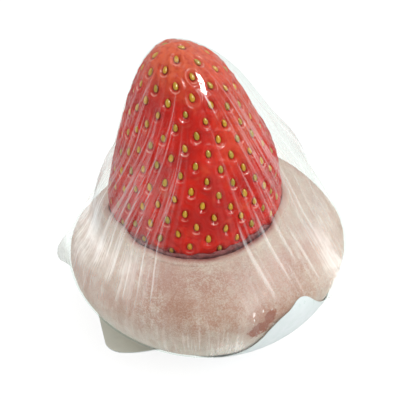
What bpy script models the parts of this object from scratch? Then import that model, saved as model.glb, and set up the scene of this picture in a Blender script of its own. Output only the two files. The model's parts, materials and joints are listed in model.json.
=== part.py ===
"""Strawberry daifuku in clear film: a whole strawberry standing tip up in a soft rice cake.

Five solids, from the inside out: the strawberry with its seeds, the bean paste that cups its foot, the rice
cake skin with an open mouth, the clear wrap drawn over all of it like a tent, and the bare label under the base.
The origin is on the surface it stands on, under the middle of the whole. +Z is up and -Y is the front.
"""

import math
import random

import bmesh
import bpy
from mathutils import Vector

MM = 0.001
TURN = 2 * math.pi
GOLDEN_ANGLE = math.pi * (3 - math.sqrt(5))
LEFT, RIGHT, FRONT = math.pi, 0.0, -math.pi / 2

# Thin layers and the clearance between neighbours
CLEARANCE = 0.35 * MM
FILM_THICKNESS = 0.3 * MM
LABEL_THICKNESS = 0.3 * MM
FILM_FLOOR_Z = LABEL_THICKNESS + CLEARANCE
CAKE_FLOOR_Z = FILM_FLOOR_Z + FILM_THICKNESS + CLEARANCE

# Strawberry
BERRY_RADIUS = 18.0 * MM
BERRY_WIDEST_Z = 30.3 * MM
BERRY_TIP_Z = 67.5 * MM
BERRY_FOOT_Z = 18.8 * MM
BERRY_X, BERRY_Y = -1.4 * MM, 1.0 * MM
BERRY_LEAN, BERRY_BOW = 0.6 * MM, 3.6 * MM
BERRY_TAPER, BERRY_BLUNTNESS, BERRY_FOOT_POWER = 1.3, 1.82, 2.6
SHOULDER_SWELL, SHOULDER_Z, SWELL_PITCH = 0.5 * MM, 62.5 * MM, 22 * MM
SWELL_GROWS_Z, SWELL_FADES_Z = (33 * MM, 39 * MM), (64 * MM, 67 * MM)

# Seeds and the pits they sit in
SEED_PLACES = 320
LOWEST_SEED_Z = 27 * MM
SEED_HALF_LENGTH, SEED_HALF_WIDTH = 1.05 * MM, 0.66 * MM
SEED_PROUD, SEED_TAPER = 0.1 * MM, 0.22
PIT_DEPTH = 0.45 * MM
PIT_SHARE_PERCENT = 33

# Rice cake
CAKE_RADIUS = 29.0 * MM
CAKE_X, CAKE_Y = 1.2 * MM, 0.0
CAKE_BELLY_Z, CAKE_BELLY_TILT = 18.0 * MM, 1.8 * MM
CAKE_CROWN_POWER, CAKE_FOOT_POWER = 1.85, 1.7
CAKE_FOOT_RADIUS = 13.5 * MM
SKIN_THICKNESS = 5.2 * MM
MOUTH_GAP, MOUTH_GAP_EXTRA = 1.25 * MM, 0.15 * MM
MOUTH_WIDEST_TOWARDS = math.radians(-35)
LIP_Z, LIP_DIP_HALF_ANGLE = 30.6 * MM, math.radians(42)
LIP_DIPS = ((FRONT, 3.1 * MM), (math.radians(150), 6.0 * MM))
LIP_WIDTH, LIP_RISE = 1.7 * MM, 0.55 * MM
MOUTH_WALL_DEPTH, MOUTH_WALL_FLARE = 2.0 * MM, 0.9 * MM
MOUTH_DRIFT = 8 * MM
CAKE_STATIONS, CAKE_COLUMNS = 13, 44

# Bean paste
PASTE_RIM_DROP = 0.9 * MM
PASTE_COLUMNS = 36

# Clear wrap
FILM_COLUMNS = 60
FILM_TOP_CLEARANCE = 0.5 * MM
FILM_MOUTH_RADIUS = 4.5 * MM
FILM_STATIONS, FILM_BEND_SHARE = 17, 0.6
PLEAT_HEIGHT, PLEAT_SHARE_ON_CAKE = 0.55 * MM, 0.15
SLACK, SLACK_HALF_ANGLE = 1.3 * MM, math.radians(50)
TENT_GROWS_Z, TENT_FADES_Z = (20 * MM, 30 * MM), (56 * MM, 66 * MM)
FLARES = (
    # direction, height, how far it stands out, half its height
    (LEFT, 15.0 * MM, 2.3 * MM, 4.5 * MM),
    (math.radians(-24), 17.4 * MM, 1.3 * MM, 3.0 * MM),
)

# Label: its corners as they would lie if it were smoothed out flat, from the near left one round, about the
# cake's middle
LABEL_CORNERS = (
    (-21.7 * MM, -14.0 * MM),
    (26.6 * MM, -36.2 * MM),
    (30.8 * MM, -0.2 * MM),
    (-23.4 * MM, 11.0 * MM),
)
LABEL_CORNER_ROUNDING = 3.2 * MM
LABEL_STEP = 3.4 * MM
LABEL_FLAT_TOWARDS = math.radians(-172)
LABEL_FLAT_HALF_ANGLE, LABEL_CLING_HALF_ANGLE = math.radians(35), math.radians(62)


def ease(start, end, value):
    """0 before start, 1 after end, and a smooth rise between them."""
    share = min(max((value - start) / (end - start), 0), 1)
    return share * share * (3 - 2 * share)


def bump(distance, half_width):
    return math.exp(-((distance / half_width) ** 2))


def angle_between(a, b):
    return abs((a - b + math.pi) % TURN - math.pi)


def new_material(name, color, roughness, alpha=1.0, coat=0.0):
    material = bpy.data.materials.new(name)
    material.use_nodes = True
    shader = material.node_tree.nodes["Principled BSDF"]
    shader.inputs["Base Color"].default_value = (*color, 1)
    shader.inputs["Roughness"].default_value = roughness
    shader.inputs["Metallic"].default_value = 0
    shader.inputs["Alpha"].default_value = alpha
    shader.inputs["Coat Weight"].default_value = coat
    return material


def new_object(name, mesh_builder, material):
    """Turns a finished bmesh into a named object, its faces pointing out and shaded smooth."""
    bmesh.ops.recalc_face_normals(mesh_builder, faces=mesh_builder.faces)
    mesh = bpy.data.meshes.new(name)
    mesh_builder.to_mesh(mesh)
    mesh_builder.free()
    mesh.materials.append(material)
    mesh.shade_smooth()
    mesh.set_sharp_from_angle(angle=math.radians(50))
    piece = bpy.data.objects.new(name, mesh)
    bpy.context.scene.collection.objects.link(piece)
    return piece


def loft(stations):
    """Joins rings of points with quads. A station of one point is a pole."""
    builder = bmesh.new()
    rings = [[builder.verts.new(point) for point in station] for station in stations]
    for ring, following in zip(rings, rings[1:]):
        count = max(len(ring), len(following))
        for i in range(count):
            j = (i + 1) % count
            corners = [ring[i % len(ring)], ring[j % len(ring)]]
            corners += [following[j % len(following)], following[i % len(following)]]
            unique = list(dict.fromkeys(corners))
            builder.faces.new(unique)
    return builder


def offset_profile(profile, distance):
    """Moves each point of a (radius, height) line along its normal, to the right of the way it runs."""
    moved = []
    for i, (radius, height) in enumerate(profile):
        before = profile[max(i - 1, 0)]
        after = profile[min(i + 1, len(profile) - 1)]
        along = Vector((after[0] - before[0], after[1] - before[1])).normalized()
        moved.append((max(radius + along.y * distance, 0), height - along.x * distance))
    return moved


def resampled(profile, count, bend_share=0.0):
    """The same line with its points spread evenly, or closer together where it bends."""
    bends = [0.0]
    for before, here, after in zip(profile, profile[1:], profile[2:]):
        inward = Vector((here[0] - before[0], here[1] - before[1]))
        outward = Vector((after[0] - here[0], after[1] - here[1]))
        bends.append(inward.angle(outward, 0))
    bends.append(0.0)
    whole_length = sum(math.dist(a, b) for a, b in zip(profile, profile[1:]))
    per_radian = bend_share / (1 - bend_share) * whole_length / max(sum(bends), 0.01)
    lengths = [0]
    for i, (a, b) in enumerate(zip(profile, profile[1:])):
        lengths.append(lengths[-1] + math.dist(a, b) + per_radian * (bends[i] + bends[i + 1]) / 2)
    return [point_along(profile, lengths, lengths[-1] * i / (count - 1)) for i in range(count)]


def point_along(profile, lengths, distance):
    for i in range(1, len(profile)):
        if distance <= lengths[i] or i == len(profile) - 1:
            span = lengths[i] - lengths[i - 1]
            share = min((distance - lengths[i - 1]) / span, 1) if span else 0
            return tuple(a + (b - a) * share for a, b in zip(profile[i - 1], profile[i]))


# Strawberry


def berry_radius(height):
    """Half the berry's width at a height, before its uneven swell."""
    if height >= BERRY_WIDEST_Z:
        rise = min((height - BERRY_WIDEST_Z) / (BERRY_TIP_Z - BERRY_WIDEST_Z), 1)
        return BERRY_RADIUS * (1 - rise**BERRY_TAPER) ** (1 / BERRY_BLUNTNESS)
    fall = min((BERRY_WIDEST_Z - height) / (BERRY_WIDEST_Z - BERRY_FOOT_Z), 1)
    return BERRY_RADIUS * math.sqrt(1 - fall**BERRY_FOOT_POWER)


def berry_swell(direction, height):
    """The right side has a shoulder near the tip and a slight waist below it."""
    faces_right = max(math.cos(direction), 0)
    between = ease(*SWELL_GROWS_Z, height) * (1 - ease(*SWELL_FADES_Z, height))
    wave = math.cos(TURN * (height - SHOULDER_Z) / SWELL_PITCH)
    return SHOULDER_SWELL * faces_right * between * wave


def berry_axis(height):
    """The berry leans to the left, more and more towards its tip."""
    rise = max((height - BERRY_WIDEST_Z) / (BERRY_TIP_Z - BERRY_WIDEST_Z), 0)
    return Vector((BERRY_X - BERRY_LEAN * rise - BERRY_BOW * rise**3, BERRY_Y, height))


def berry_stations(steps=240):
    """(share of the skin's area from the tip down to here, height) all the way down."""
    heights = []
    for i in range(steps + 1):
        angle = math.pi * i / steps
        reach = BERRY_TIP_Z - BERRY_WIDEST_Z if angle < math.pi / 2 else BERRY_WIDEST_Z - BERRY_FOOT_Z
        heights.append(BERRY_WIDEST_Z + reach * math.cos(angle))
    areas = [0]
    for upper, lower in zip(heights, heights[1:]):
        a, b = berry_radius(upper), berry_radius(lower)
        areas.append(areas[-1] + (a + b) * math.dist((a, upper), (b, lower)))
    return [(area / areas[-1], height) for area, height in zip(areas, heights)]


def berry_point(unit, stations):
    """Carries a point of the unit sphere to the berry's skin, keeping its share of the area."""
    direction = math.atan2(unit.y, unit.x)
    share = min(max((1 - unit.z) / 2, 0), 1)
    height = stations[-1][1]
    for (before, upper), (after, lower) in zip(stations, stations[1:]):
        if share <= after:
            height = upper + (lower - upper) * (share - before) / (after - before)
            break
    radius = berry_radius(height)
    if radius > 0:
        radius += berry_swell(direction, height)
    return berry_axis(height) + Vector((math.cos(direction), math.sin(direction), 0)) * radius


def spiral_unit(index, count):
    z = 1 - (2 * index + 1) / count
    flat = math.sqrt(1 - z * z)
    turn = index * GOLDEN_ANGLE
    return Vector((flat * math.cos(turn), flat * math.sin(turn), z))


def seed_frame(unit, stations):
    """Where a seed sits on the skin: its middle, the way to the tip, the way across, and out."""
    middle = berry_point(unit, stations)
    up_unit = (unit + Vector((0, 0, 0.05))).normalized()
    side_unit = (unit + unit.cross(Vector((0, 0, 1))).normalized() * 0.05).normalized()
    to_tip = (berry_point(up_unit, stations) - middle).normalized()
    across = (berry_point(side_unit, stations) - middle).normalized()
    out = across.cross(to_tip).normalized()
    if out.dot(middle - berry_axis(middle.z - 4 * MM)) < 0:
        out.negate()
    return middle, to_tip, across, out


def shape_as_seed(face, frame):
    """Moves a face's corners onto the seed's drop-shaped outline, narrow towards the tip, on the pit's floor."""
    middle, to_tip, across, out = frame
    for vert in face.verts:
        away = vert.co - middle
        angle = math.atan2(away.dot(across), away.dot(to_tip))
        taper = 1 - SEED_TAPER * math.cos(angle)
        along = to_tip * math.cos(angle) * SEED_HALF_LENGTH
        sideways = across * math.sin(angle) * SEED_HALF_WIDTH * taper
        vert.co = middle + along + sideways - out * PIT_DEPTH


def make_strawberry():
    """Every seed stands in its own pit, and both are part of the skin."""
    stations = berry_stations()
    units = [spiral_unit(i, SEED_PLACES) for i in range(SEED_PLACES)]
    builder = bmesh.new()
    verts = [builder.verts.new(unit) for unit in units]
    bmesh.ops.convex_hull(builder, input=verts)
    seeded = [u for u in units if berry_point(u, stations).z > LOWEST_SEED_Z]
    pit_verts = [v for v, u in zip(verts, units) if berry_point(u, stations).z > LOWEST_SEED_Z]
    pits = bmesh.ops.bevel(
        builder,
        geom=pit_verts,
        offset=PIT_SHARE_PERCENT,
        offset_type="PERCENT",
        affect="VERTICES",
        segments=1,
        profile=0.5,
    )["faces"]
    owners = {}
    for pit in pits:
        middle = pit.calc_center_median().normalized()
        owners[pit] = seed_frame(max(seeded, key=middle.dot), stations)
    for vert in builder.verts:
        vert.co = berry_point(vert.co.normalized(), stations)
    bmesh.ops.inset_individual(builder, faces=pits, thickness=0.1 * MM, use_even_offset=False)
    for pit in pits:
        shape_as_seed(pit, owners[pit])
        middle, _, _, out = owners[pit]
        crest = bmesh.ops.poke(builder, faces=[pit])["verts"][0]
        crest.co = middle + out * SEED_PROUD
    bmesh.ops.triangulate(builder, faces=builder.faces)
    return new_object("strawberry", builder, new_material("berry_skin", (0.62, 0.03, 0.02), 0.35, coat=0.3))


# Rice cake


def mouth_radius(direction):
    """The mouth hugs the berry, and is a little wider at the front right."""
    wider = MOUTH_GAP_EXTRA * math.cos(direction - MOUTH_WIDEST_TOWARDS)
    return BERRY_RADIUS + MOUTH_GAP + wider


def belly_height(direction):
    """The cake is widest at this height, which is higher on the right."""
    return CAKE_BELLY_Z + CAKE_BELLY_TILT * math.cos(direction)


def lip_height(direction):
    """The top of the skin at the mouth, which dips at the front and at the back left."""
    dips = (depth * bump(angle_between(direction, towards), LIP_DIP_HALF_ANGLE) for towards, depth in LIP_DIPS)
    return LIP_Z - sum(dips)


def cake_crown(direction, radius):
    """Height of the cake's top at a distance from its axis, outside the lip."""
    def fullness(out):
        return (1 - min(out / CAKE_RADIUS, 1) ** 2) ** (1 / CAKE_CROWN_POWER)

    belly = belly_height(direction)
    share = fullness(radius) / fullness(mouth_radius(direction) + LIP_WIDTH)
    return belly + (lip_height(direction) - LIP_RISE - belly) * share


def cake_belly_profile(direction, steps=14):
    """The foot's flat, the round lower half and the crown, up to the lip's outer side."""
    belly = belly_height(direction)
    profile = [(0, CAKE_FLOOR_Z)]
    for i in range(steps + 1):
        angle = math.pi / 2 * i / steps
        out = CAKE_FOOT_RADIUS + (CAKE_RADIUS - CAKE_FOOT_RADIUS) * math.sin(angle) ** (2 / CAKE_FOOT_POWER)
        down = math.cos(angle) ** (2 / CAKE_FOOT_POWER)
        profile.append((out, belly - (belly - CAKE_FLOOR_Z) * down))
    lip_start = mouth_radius(direction) + LIP_WIDTH
    for i in range(1, steps + 1):
        share = (i / steps) ** 0.6
        out = CAKE_RADIUS + (lip_start - CAKE_RADIUS) * (1 - math.sqrt(1 - share**2) if i < steps else 1)
        profile.append((out, cake_crown(direction, out)))
    return profile


def lip_profile(direction):
    """The rounded lip, from its outer side over the top to the wall of the mouth."""
    inner = mouth_radius(direction)
    start = cake_crown(direction, inner + LIP_WIDTH)
    return [
        (inner + LIP_WIDTH * 0.62, start + LIP_RISE),
        (inner + LIP_WIDTH * 0.25, start + LIP_RISE * 0.95),
        (inner, start + LIP_RISE * 0.1),
    ]


def cavity_profile(direction):
    """The skin's inner wall, from just under the lip down to the middle of its floor."""
    belly = belly_height(direction)
    inner = mouth_radius(direction)
    wall_foot = cake_crown(direction, inner + LIP_WIDTH) - LIP_WIDTH - MOUTH_WALL_DEPTH
    wall = CAKE_RADIUS - SKIN_THICKNESS
    floor = CAKE_FLOOR_Z + SKIN_THICKNESS
    return [
        (inner, wall_foot + MOUTH_WALL_DEPTH),
        (inner + MOUTH_WALL_FLARE, wall_foot),
        (wall - SKIN_THICKNESS * 0.13, belly + SKIN_THICKNESS * 0.65),
        (wall, belly - SKIN_THICKNESS * 0.2),
        (wall - SKIN_THICKNESS * 0.42, belly - SKIN_THICKNESS * 1.15),
        (CAKE_FOOT_RADIUS, floor),
        (0, floor),
    ]


def placed(profile, direction, centre_of):
    """Carries (radius, height) points to space, each out from the middle that its height has."""
    points = []
    for radius, height in profile:
        centre = centre_of(height)
        out = Vector((math.cos(direction), math.sin(direction), 0))
        points.append(Vector((centre[0], centre[1], height)) + out * radius)
    return points


def around(column_of, columns):
    """Turns columns of points, one for each direction, into rings. Where a ring shrinks to nothing it is a pole."""
    lines = [column_of(TURN * i / columns) for i in range(columns)]
    stations = []
    for ring in zip(*lines):
        middle = sum(ring, Vector()) / columns
        is_pole = max((point - middle).length for point in ring) < 0.01 * MM
        stations.append([middle] if is_pole else list(ring))
    return stations


def mouth_centre(height):
    """The cake's middle below, drifting to the berry's where the mouth is."""
    share = ease(CAKE_BELLY_Z, CAKE_BELLY_Z + MOUTH_DRIFT, height)
    return (CAKE_X + (BERRY_X - CAKE_X) * share, CAKE_Y + (BERRY_Y - CAKE_Y) * share)


def make_rice_cake():
    def column(direction):
        outer = resampled(cake_belly_profile(direction), CAKE_STATIONS)
        return placed(outer + lip_profile(direction) + cavity_profile(direction), direction, mouth_centre)

    builder = loft(around(column, CAKE_COLUMNS))
    return new_object("mochi", builder, new_material("rice_cake", (0.72, 0.47, 0.40), 0.6))


# Bean paste


def make_bean_paste():
    """It fills the skin, rises as a thin rim round the berry's foot, and is dished under the berry."""
    def column(direction):
        rim_z = lip_height(direction) - PASTE_RIM_DROP
        steps = 7
        cup = [(0, BERRY_FOOT_Z - CLEARANCE * 1.3)]
        for i in range(1, steps + 1):
            height = BERRY_FOOT_Z + (rim_z - BERRY_FOOT_Z) * (i / steps) ** 2
            cup.append((berry_radius(height), height))
        cup = cup[:1] + offset_profile(cup, CLEARANCE * 1.2)[1:]
        wall = [(mouth_radius(direction) - CLEARANCE, rim_z - 0.3 * MM)]
        wall += offset_profile(cavity_profile(direction), CLEARANCE)
        wall[-1] = (0, wall[-1][1])
        return placed(cup, direction, berry_axis) + placed(wall, direction, mouth_centre)

    builder = loft(around(column, PASTE_COLUMNS))
    return new_object("bean_paste", builder, new_material("bean_paste", (0.09, 0.02, 0.03), 0.45))


# Clear wrap


def film_centre(height):
    """The middle of the wrap at a height, from the cake's below to the berry's at the tip."""
    share = ease(CAKE_BELLY_Z, BERRY_WIDEST_Z + 4 * MM, height)
    berry = berry_axis(height)
    return (CAKE_X + (berry.x - CAKE_X) * share, CAKE_Y + (berry.y - CAKE_Y) * share)


def radius_from_film_centre(own_centre, radius, direction, height):
    """A circle's reach in one direction, seen from the wrap's middle."""
    film = film_centre(height)
    shift = (own_centre[0] - film[0]) * math.cos(direction) + (own_centre[1] - film[1]) * math.sin(direction)
    return radius + shift


def drawn_tight(points):
    """The outer hull of (radius, height) points that run from the foot up: film bridges every hollow."""
    hull = []
    for point in points:
        while len(hull) > 1:
            (ax, ay), (bx, by) = hull[-2], hull[-1]
            turn = (bx - ax) * (point[1] - ay) - (by - ay) * (point[0] - ax)
            if turn > 0:
                break
            hull.pop()
        hull.append(point)
    return hull


def film_profile(direction):
    """The wrap's outer face from its mouth under the base, round the cake, up the tent and to the tip."""
    lining = FILM_THICKNESS + CLEARANCE
    cake = offset_profile(cake_belly_profile(direction), lining)
    cake = [(max(radius, 0), max(height, FILM_FLOOR_Z)) for radius, height in cake[1:]]
    cake = [
        (radius_from_film_centre(mouth_centre(height), radius, direction, height), height)
        for radius, height in cake
    ]
    steps = 40
    berry = []
    for i in range(steps + 1):
        angle = math.pi / 2 * (1 - i / steps)
        height = BERRY_WIDEST_Z + (BERRY_TIP_Z - BERRY_WIDEST_Z) * math.cos(angle)
        radius = berry_radius(height) + berry_swell(direction, height) if i < steps else 0
        berry.append((radius, height))
    berry = offset_profile(berry, FILM_THICKNESS + FILM_TOP_CLEARANCE)
    berry[-1] = (0, BERRY_TIP_Z + FILM_THICKNESS + FILM_TOP_CLEARANCE)
    tent = drawn_tight([(FILM_MOUTH_RADIUS, FILM_FLOOR_Z)] + cake + berry)
    return resampled(tent, 90, FILM_BEND_SHARE)


def flare(direction, height):
    """Folds of spare film that stand out at the sides."""
    out = 0
    for towards, middle, reach, half_height in FLARES:
        beside = angle_between(direction, towards) / (TURN / FILM_COLUMNS)
        out += reach * max(1 - 0.8 * beside, 0) * bump(height - middle, half_height)
    return out


def pleated(profile, direction, pull):
    """Raises one column of the wrap by its own pleat, by the slack on the right, and by any flare."""
    raised = []
    for (radius, height), (out_radius, out_height) in zip(profile, offset_profile(profile, 1 * MM)):
        normal = Vector((out_radius - radius, out_height - height)) / MM
        tent = ease(*TENT_GROWS_Z, height) * (1 - ease(*TENT_FADES_Z, height))
        pleat = PLEAT_HEIGHT * pull * (PLEAT_SHARE_ON_CAKE + (1 - PLEAT_SHARE_ON_CAKE) * tent)
        slack = SLACK * tent * bump(angle_between(direction, RIGHT), SLACK_HALF_ANGLE)
        clear_of_floor = ease(-0.9, -0.2, normal.y)
        amount = (pleat + slack + flare(direction, height)) * clear_of_floor
        raised.append((radius + normal.x * amount, height + normal.y * amount))
    raised[-1] = profile[-1]
    return raised


def make_film():
    draw = random.Random(11)
    pulls = [draw.random() for _ in range(FILM_COLUMNS)]

    def column(direction):
        pull = pulls[round(direction / TURN * FILM_COLUMNS)]
        profile = resampled(pleated(film_profile(direction), direction, pull), FILM_STATIONS, FILM_BEND_SHARE)
        return placed(profile, direction, film_centre)

    builder = loft(around(column, FILM_COLUMNS))
    film = new_object("film", builder, new_material("clear_film", (0.93, 0.97, 0.95), 0.12, alpha=0.25))
    wall = film.modifiers.new("wall", "SOLIDIFY")
    wall.thickness = FILM_THICKNESS
    wall.offset = -1
    return film


# Label


def label_outline():
    """The flat label with round corners, cut into a fine grid."""
    builder = bmesh.new()
    face = builder.faces.new([builder.verts.new((x, y, 0)) for x, y in LABEL_CORNERS])
    bmesh.ops.bevel(
        builder,
        geom=list(face.verts),
        offset=LABEL_CORNER_ROUNDING,
        offset_type="OFFSET",
        affect="VERTICES",
        segments=4,
        profile=0.5,
    )
    for axis in (Vector((1, 0, 0)), Vector((0, 1, 0))):
        reaches = [vert.co.dot(axis) for vert in builder.verts]
        cuts = round((max(reaches) - min(reaches)) / LABEL_STEP)
        for i in range(1, cuts):
            place = axis * (min(reaches) + (max(reaches) - min(reaches)) * i / cuts)
            everything = list(builder.verts) + list(builder.edges) + list(builder.faces)
            bmesh.ops.bisect_plane(builder, geom=everything, plane_co=place, plane_no=axis)
    bmesh.ops.triangulate(builder, faces=builder.faces)
    return builder


def label_point(flat):
    """Where a point of the smoothed-out label lies: level at the near left, and stuck up round the cake elsewhere."""
    direction = math.atan2(flat.y, flat.x)
    middle_z = LABEL_THICKNESS / 2
    from_flat = angle_between(direction, LABEL_FLAT_TOWARDS)
    cling = ease(LABEL_FLAT_HALF_ANGLE, LABEL_CLING_HALF_ANGLE, from_flat)
    under_wrap = offset_profile(film_profile(direction), CLEARANCE + middle_z)
    profile = [(0, middle_z)] + [(radius, max(height, middle_z)) for radius, height in under_wrap]
    lengths = [0]
    for a, b in zip(profile, profile[1:]):
        lengths.append(lengths[-1] + math.dist(a, b))
    radius, height = point_along(profile, lengths, flat.length)
    clung = placed([(radius, height)], direction, film_centre)[0]
    level = Vector((CAKE_X + flat.x, CAKE_Y + flat.y, middle_z))
    return level.lerp(clung, cling)


def make_label():
    builder = label_outline()
    for vert in builder.verts:
        vert.co = label_point(vert.co.copy())
    label = new_object("label", builder, new_material("label_paper", (0.86, 0.88, 0.86), 0.5))
    wall = label.modifiers.new("wall", "SOLIDIFY")
    wall.thickness = LABEL_THICKNESS
    wall.offset = 0
    return label


def main():
    for leftover in list(bpy.data.objects):
        bpy.data.objects.remove(leftover, do_unlink=True)
    make_strawberry()
    make_bean_paste()
    make_rice_cake()
    make_film()
    make_label()


main()
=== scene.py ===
# Strawberry daifuku in clear film: the looks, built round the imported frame
import bisect
import json
import math
import random

import bpy
from mathutils import Matrix, Vector, geometry, kdtree, noise

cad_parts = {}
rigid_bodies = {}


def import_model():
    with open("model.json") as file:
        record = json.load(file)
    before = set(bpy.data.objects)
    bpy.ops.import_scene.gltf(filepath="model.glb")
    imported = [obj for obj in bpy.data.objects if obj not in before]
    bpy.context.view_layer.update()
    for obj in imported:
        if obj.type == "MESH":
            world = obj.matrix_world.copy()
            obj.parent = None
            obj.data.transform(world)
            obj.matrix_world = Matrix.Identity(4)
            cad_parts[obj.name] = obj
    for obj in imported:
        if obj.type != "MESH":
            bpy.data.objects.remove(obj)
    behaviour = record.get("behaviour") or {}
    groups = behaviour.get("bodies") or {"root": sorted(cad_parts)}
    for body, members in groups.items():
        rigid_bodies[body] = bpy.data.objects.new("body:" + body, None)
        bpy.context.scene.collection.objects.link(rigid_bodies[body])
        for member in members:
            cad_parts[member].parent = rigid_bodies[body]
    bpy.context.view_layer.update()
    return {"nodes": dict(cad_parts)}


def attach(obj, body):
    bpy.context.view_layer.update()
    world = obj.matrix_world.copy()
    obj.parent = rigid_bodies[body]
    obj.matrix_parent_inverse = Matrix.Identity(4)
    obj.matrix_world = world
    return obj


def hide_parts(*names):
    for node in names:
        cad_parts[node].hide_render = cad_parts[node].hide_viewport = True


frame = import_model()
print("frame loaded:", ", ".join(sorted(frame["nodes"])))

mm = 0.001
turn = 2 * math.pi
goldenAngle = math.pi * (3 - math.sqrt(5))
backSeam = math.pi / 2  # every wrapped skin has its seam at the back
atLeft, atRight, atFront = math.pi, 0.0, -math.pi / 2


# small helpers

def clamped(share):
    return min(max(share, 0), 1)


def ease(start, end, value):
    share = clamped((value - start) / (end - start))
    return share * share * (3 - 2 * share)


def bump(distance, halfWidth):
    return math.exp(-((distance / halfWidth) ** 2))


def lumps(point, coarse, fine, fineShare):
    # smooth noise at two scales, in waves for each metre
    return noise.noise(point * coarse) + fineShare * noise.noise(point * fine)


def angleBetween(a, b):
    return abs((a - b + math.pi) % turn - math.pi)


def outward(direction):
    return Vector((math.cos(direction), math.sin(direction), 0))


def deselect():
    if bpy.context.object and bpy.context.object.mode != "OBJECT":
        bpy.ops.object.mode_set(mode="OBJECT")
    bpy.ops.object.select_all(action="DESELECT")


def pick(piece):
    deselect()
    piece.select_set(True)
    bpy.context.view_layer.objects.active = piece


def justAdded(name):
    piece = bpy.context.object
    piece.name = name
    piece.data.name = name
    return piece


def editAll(piece):
    pick(piece)
    bpy.ops.object.mode_set(mode="EDIT")
    bpy.ops.mesh.select_all(action="SELECT")


def applyModifiers(piece):
    pick(piece)
    for modifier in list(piece.modifiers):
        bpy.ops.object.modifier_apply(modifier=modifier.name)


def setNumbers(piece, name, numbers):
    # a number for each vertex, which a material reads by name
    layer = piece.data.attributes.new(name, "FLOAT", "POINT")
    layer.data.foreach_set("value", numbers)


def wrapGrid(name, columns, rows, columnOf, shareOf=None, marks=None):
    # rolls a flat grid round into a skin: each column is a line of points from one pole to the other.
    # marks holds named numbers for the points, a list for each column, which columnOf adds as it goes
    deselect()
    bpy.ops.mesh.primitive_grid_add(x_subdivisions=columns, y_subdivisions=rows, size=1, calc_uvs=True)
    skin = justAdded(name)
    lines = []
    for i in range(columns):
        share = i / columns
        lines.append(columnOf(backSeam + turn * (shareOf(share) if shareOf else share)))
    cells = []
    for vert in skin.data.vertices:
        cells.append((round((vert.co.x + 0.5) * columns) % columns, round((vert.co.y + 0.5) * rows)))
        vert.co = lines[cells[-1][0]][cells[-1][1]]
    for mark, numbers in (marks or {}).items():
        setNumbers(skin, mark, [numbers[i][j] for i, j in cells])
    editAll(skin)
    bpy.ops.mesh.remove_doubles(threshold=0.001 * mm)
    bpy.ops.mesh.normals_make_consistent(inside=False)
    bpy.ops.object.mode_set(mode="OBJECT")
    bpy.ops.object.shade_smooth()
    return skin


def lengthsAlong(profile):
    lengths = [0]
    for a, b in zip(profile, profile[1:]):
        lengths.append(lengths[-1] + math.dist(a, b))
    return lengths


def pointAlong(profile, lengths, distance):
    i = min(max(bisect.bisect_left(lengths, distance), 1), len(profile) - 1)
    span = lengths[i] - lengths[i - 1]
    share = clamped((distance - lengths[i - 1]) / span) if span else 0
    return tuple(a + (b - a) * share for a, b in zip(profile[i - 1], profile[i]))


def resampled(profile, count, bendShare=0.0):
    # the same line with its points spread evenly, or closer together where it bends
    bends = [0.0]
    for before, here, after in zip(profile, profile[1:], profile[2:]):
        inward = Vector((here[0] - before[0], here[1] - before[1]))
        onward = Vector((after[0] - here[0], after[1] - here[1]))
        bends.append(inward.angle(onward, 0))
    bends.append(0.0)
    wholeLength = lengthsAlong(profile)[-1]
    perRadian = bendShare / (1 - bendShare) * wholeLength / max(sum(bends), 0.01)
    lengths = [0]
    for i, (a, b) in enumerate(zip(profile, profile[1:])):
        lengths.append(lengths[-1] + math.dist(a, b) + perRadian * (bends[i] + bends[i + 1]) / 2)
    return [pointAlong(profile, lengths, lengths[-1] * i / (count - 1)) for i in range(count)]


def offsetProfile(profile, distance):
    # moves each point of a (radius, height) line to the right of the way it runs
    moved = []
    for i, (radius, height) in enumerate(profile):
        before = profile[max(i - 1, 0)]
        after = profile[min(i + 1, len(profile) - 1)]
        along = Vector((after[0] - before[0], after[1] - before[1])).normalized()
        moved.append((max(radius + along.y * distance, 0), height - along.x * distance))
    return moved


def placed(profile, direction, centreOf):
    points = []
    for radius, height in profile:
        centre = centreOf(height)
        points.append(Vector((centre[0], centre[1], height)) + outward(direction) * radius)
    return points


# materials: a small way to add and join nodes. In the dictionaries a pattern is its scale, detail, roughness
# and stretch, a range is where it starts and ends and what it becomes there, and a relief is its strength and
# depth

def newMaterial(name):
    material = bpy.data.materials.new(name)
    material.use_nodes = True
    tree = material.node_tree
    return material, tree, tree.nodes["Principled BSDF"]


def add(tree, kind, *links, **settings):
    # a setting is the input of that name, or else a property of the node
    node = tree.nodes.new(kind)
    for key, value in settings.items():
        if key in node.inputs:
            node.inputs[key].default_value = value
        else:
            setattr(node, key, value)
    for place, output in links:
        tree.links.new(output, node.inputs[place])
    return node


def setInputs(node, values):
    for name, value in values.items():
        node.inputs[name].default_value = value


def math2(tree, operation, a, b, clamp=False):
    node = add(tree, "ShaderNodeMath", operation=operation, use_clamp=clamp)
    for place, value in enumerate((a, b)):
        if isinstance(value, (int, float)):
            node.inputs[place].default_value = value
        else:
            tree.links.new(value, node.inputs[place])
    return node.outputs[0]


def times(tree, a, b):
    return math2(tree, "MULTIPLY", a, b)


def plus(tree, a, b, clamp=False):
    return math2(tree, "ADD", a, b, clamp)


def ramp(tree, value, low, high, lowTo=0.0, highTo=1.0):
    node = add(tree, "ShaderNodeMapRange", ("Value", value), interpolation_type="SMOOTHSTEP")
    setInputs(node, {"From Min": low, "From Max": high, "To Min": lowTo, "To Max": highTo})
    return node.outputs["Result"]


def mixColor(tree, share, first, second):
    # the node's two colours are its inputs 6 and 7, and the mixed one is its output 2
    node = add(tree, "ShaderNodeMix", ("Factor", share), data_type="RGBA")
    for place, value in ((6, first), (7, second)):
        if isinstance(value, tuple):
            node.inputs[place].default_value = (*value, 1)
        else:
            tree.links.new(value, node.inputs[place])
    return node.outputs[2]


def readNumber(tree, name):
    return add(tree, "ShaderNodeAttribute", attribute_name=name).outputs["Fac"]


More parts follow.
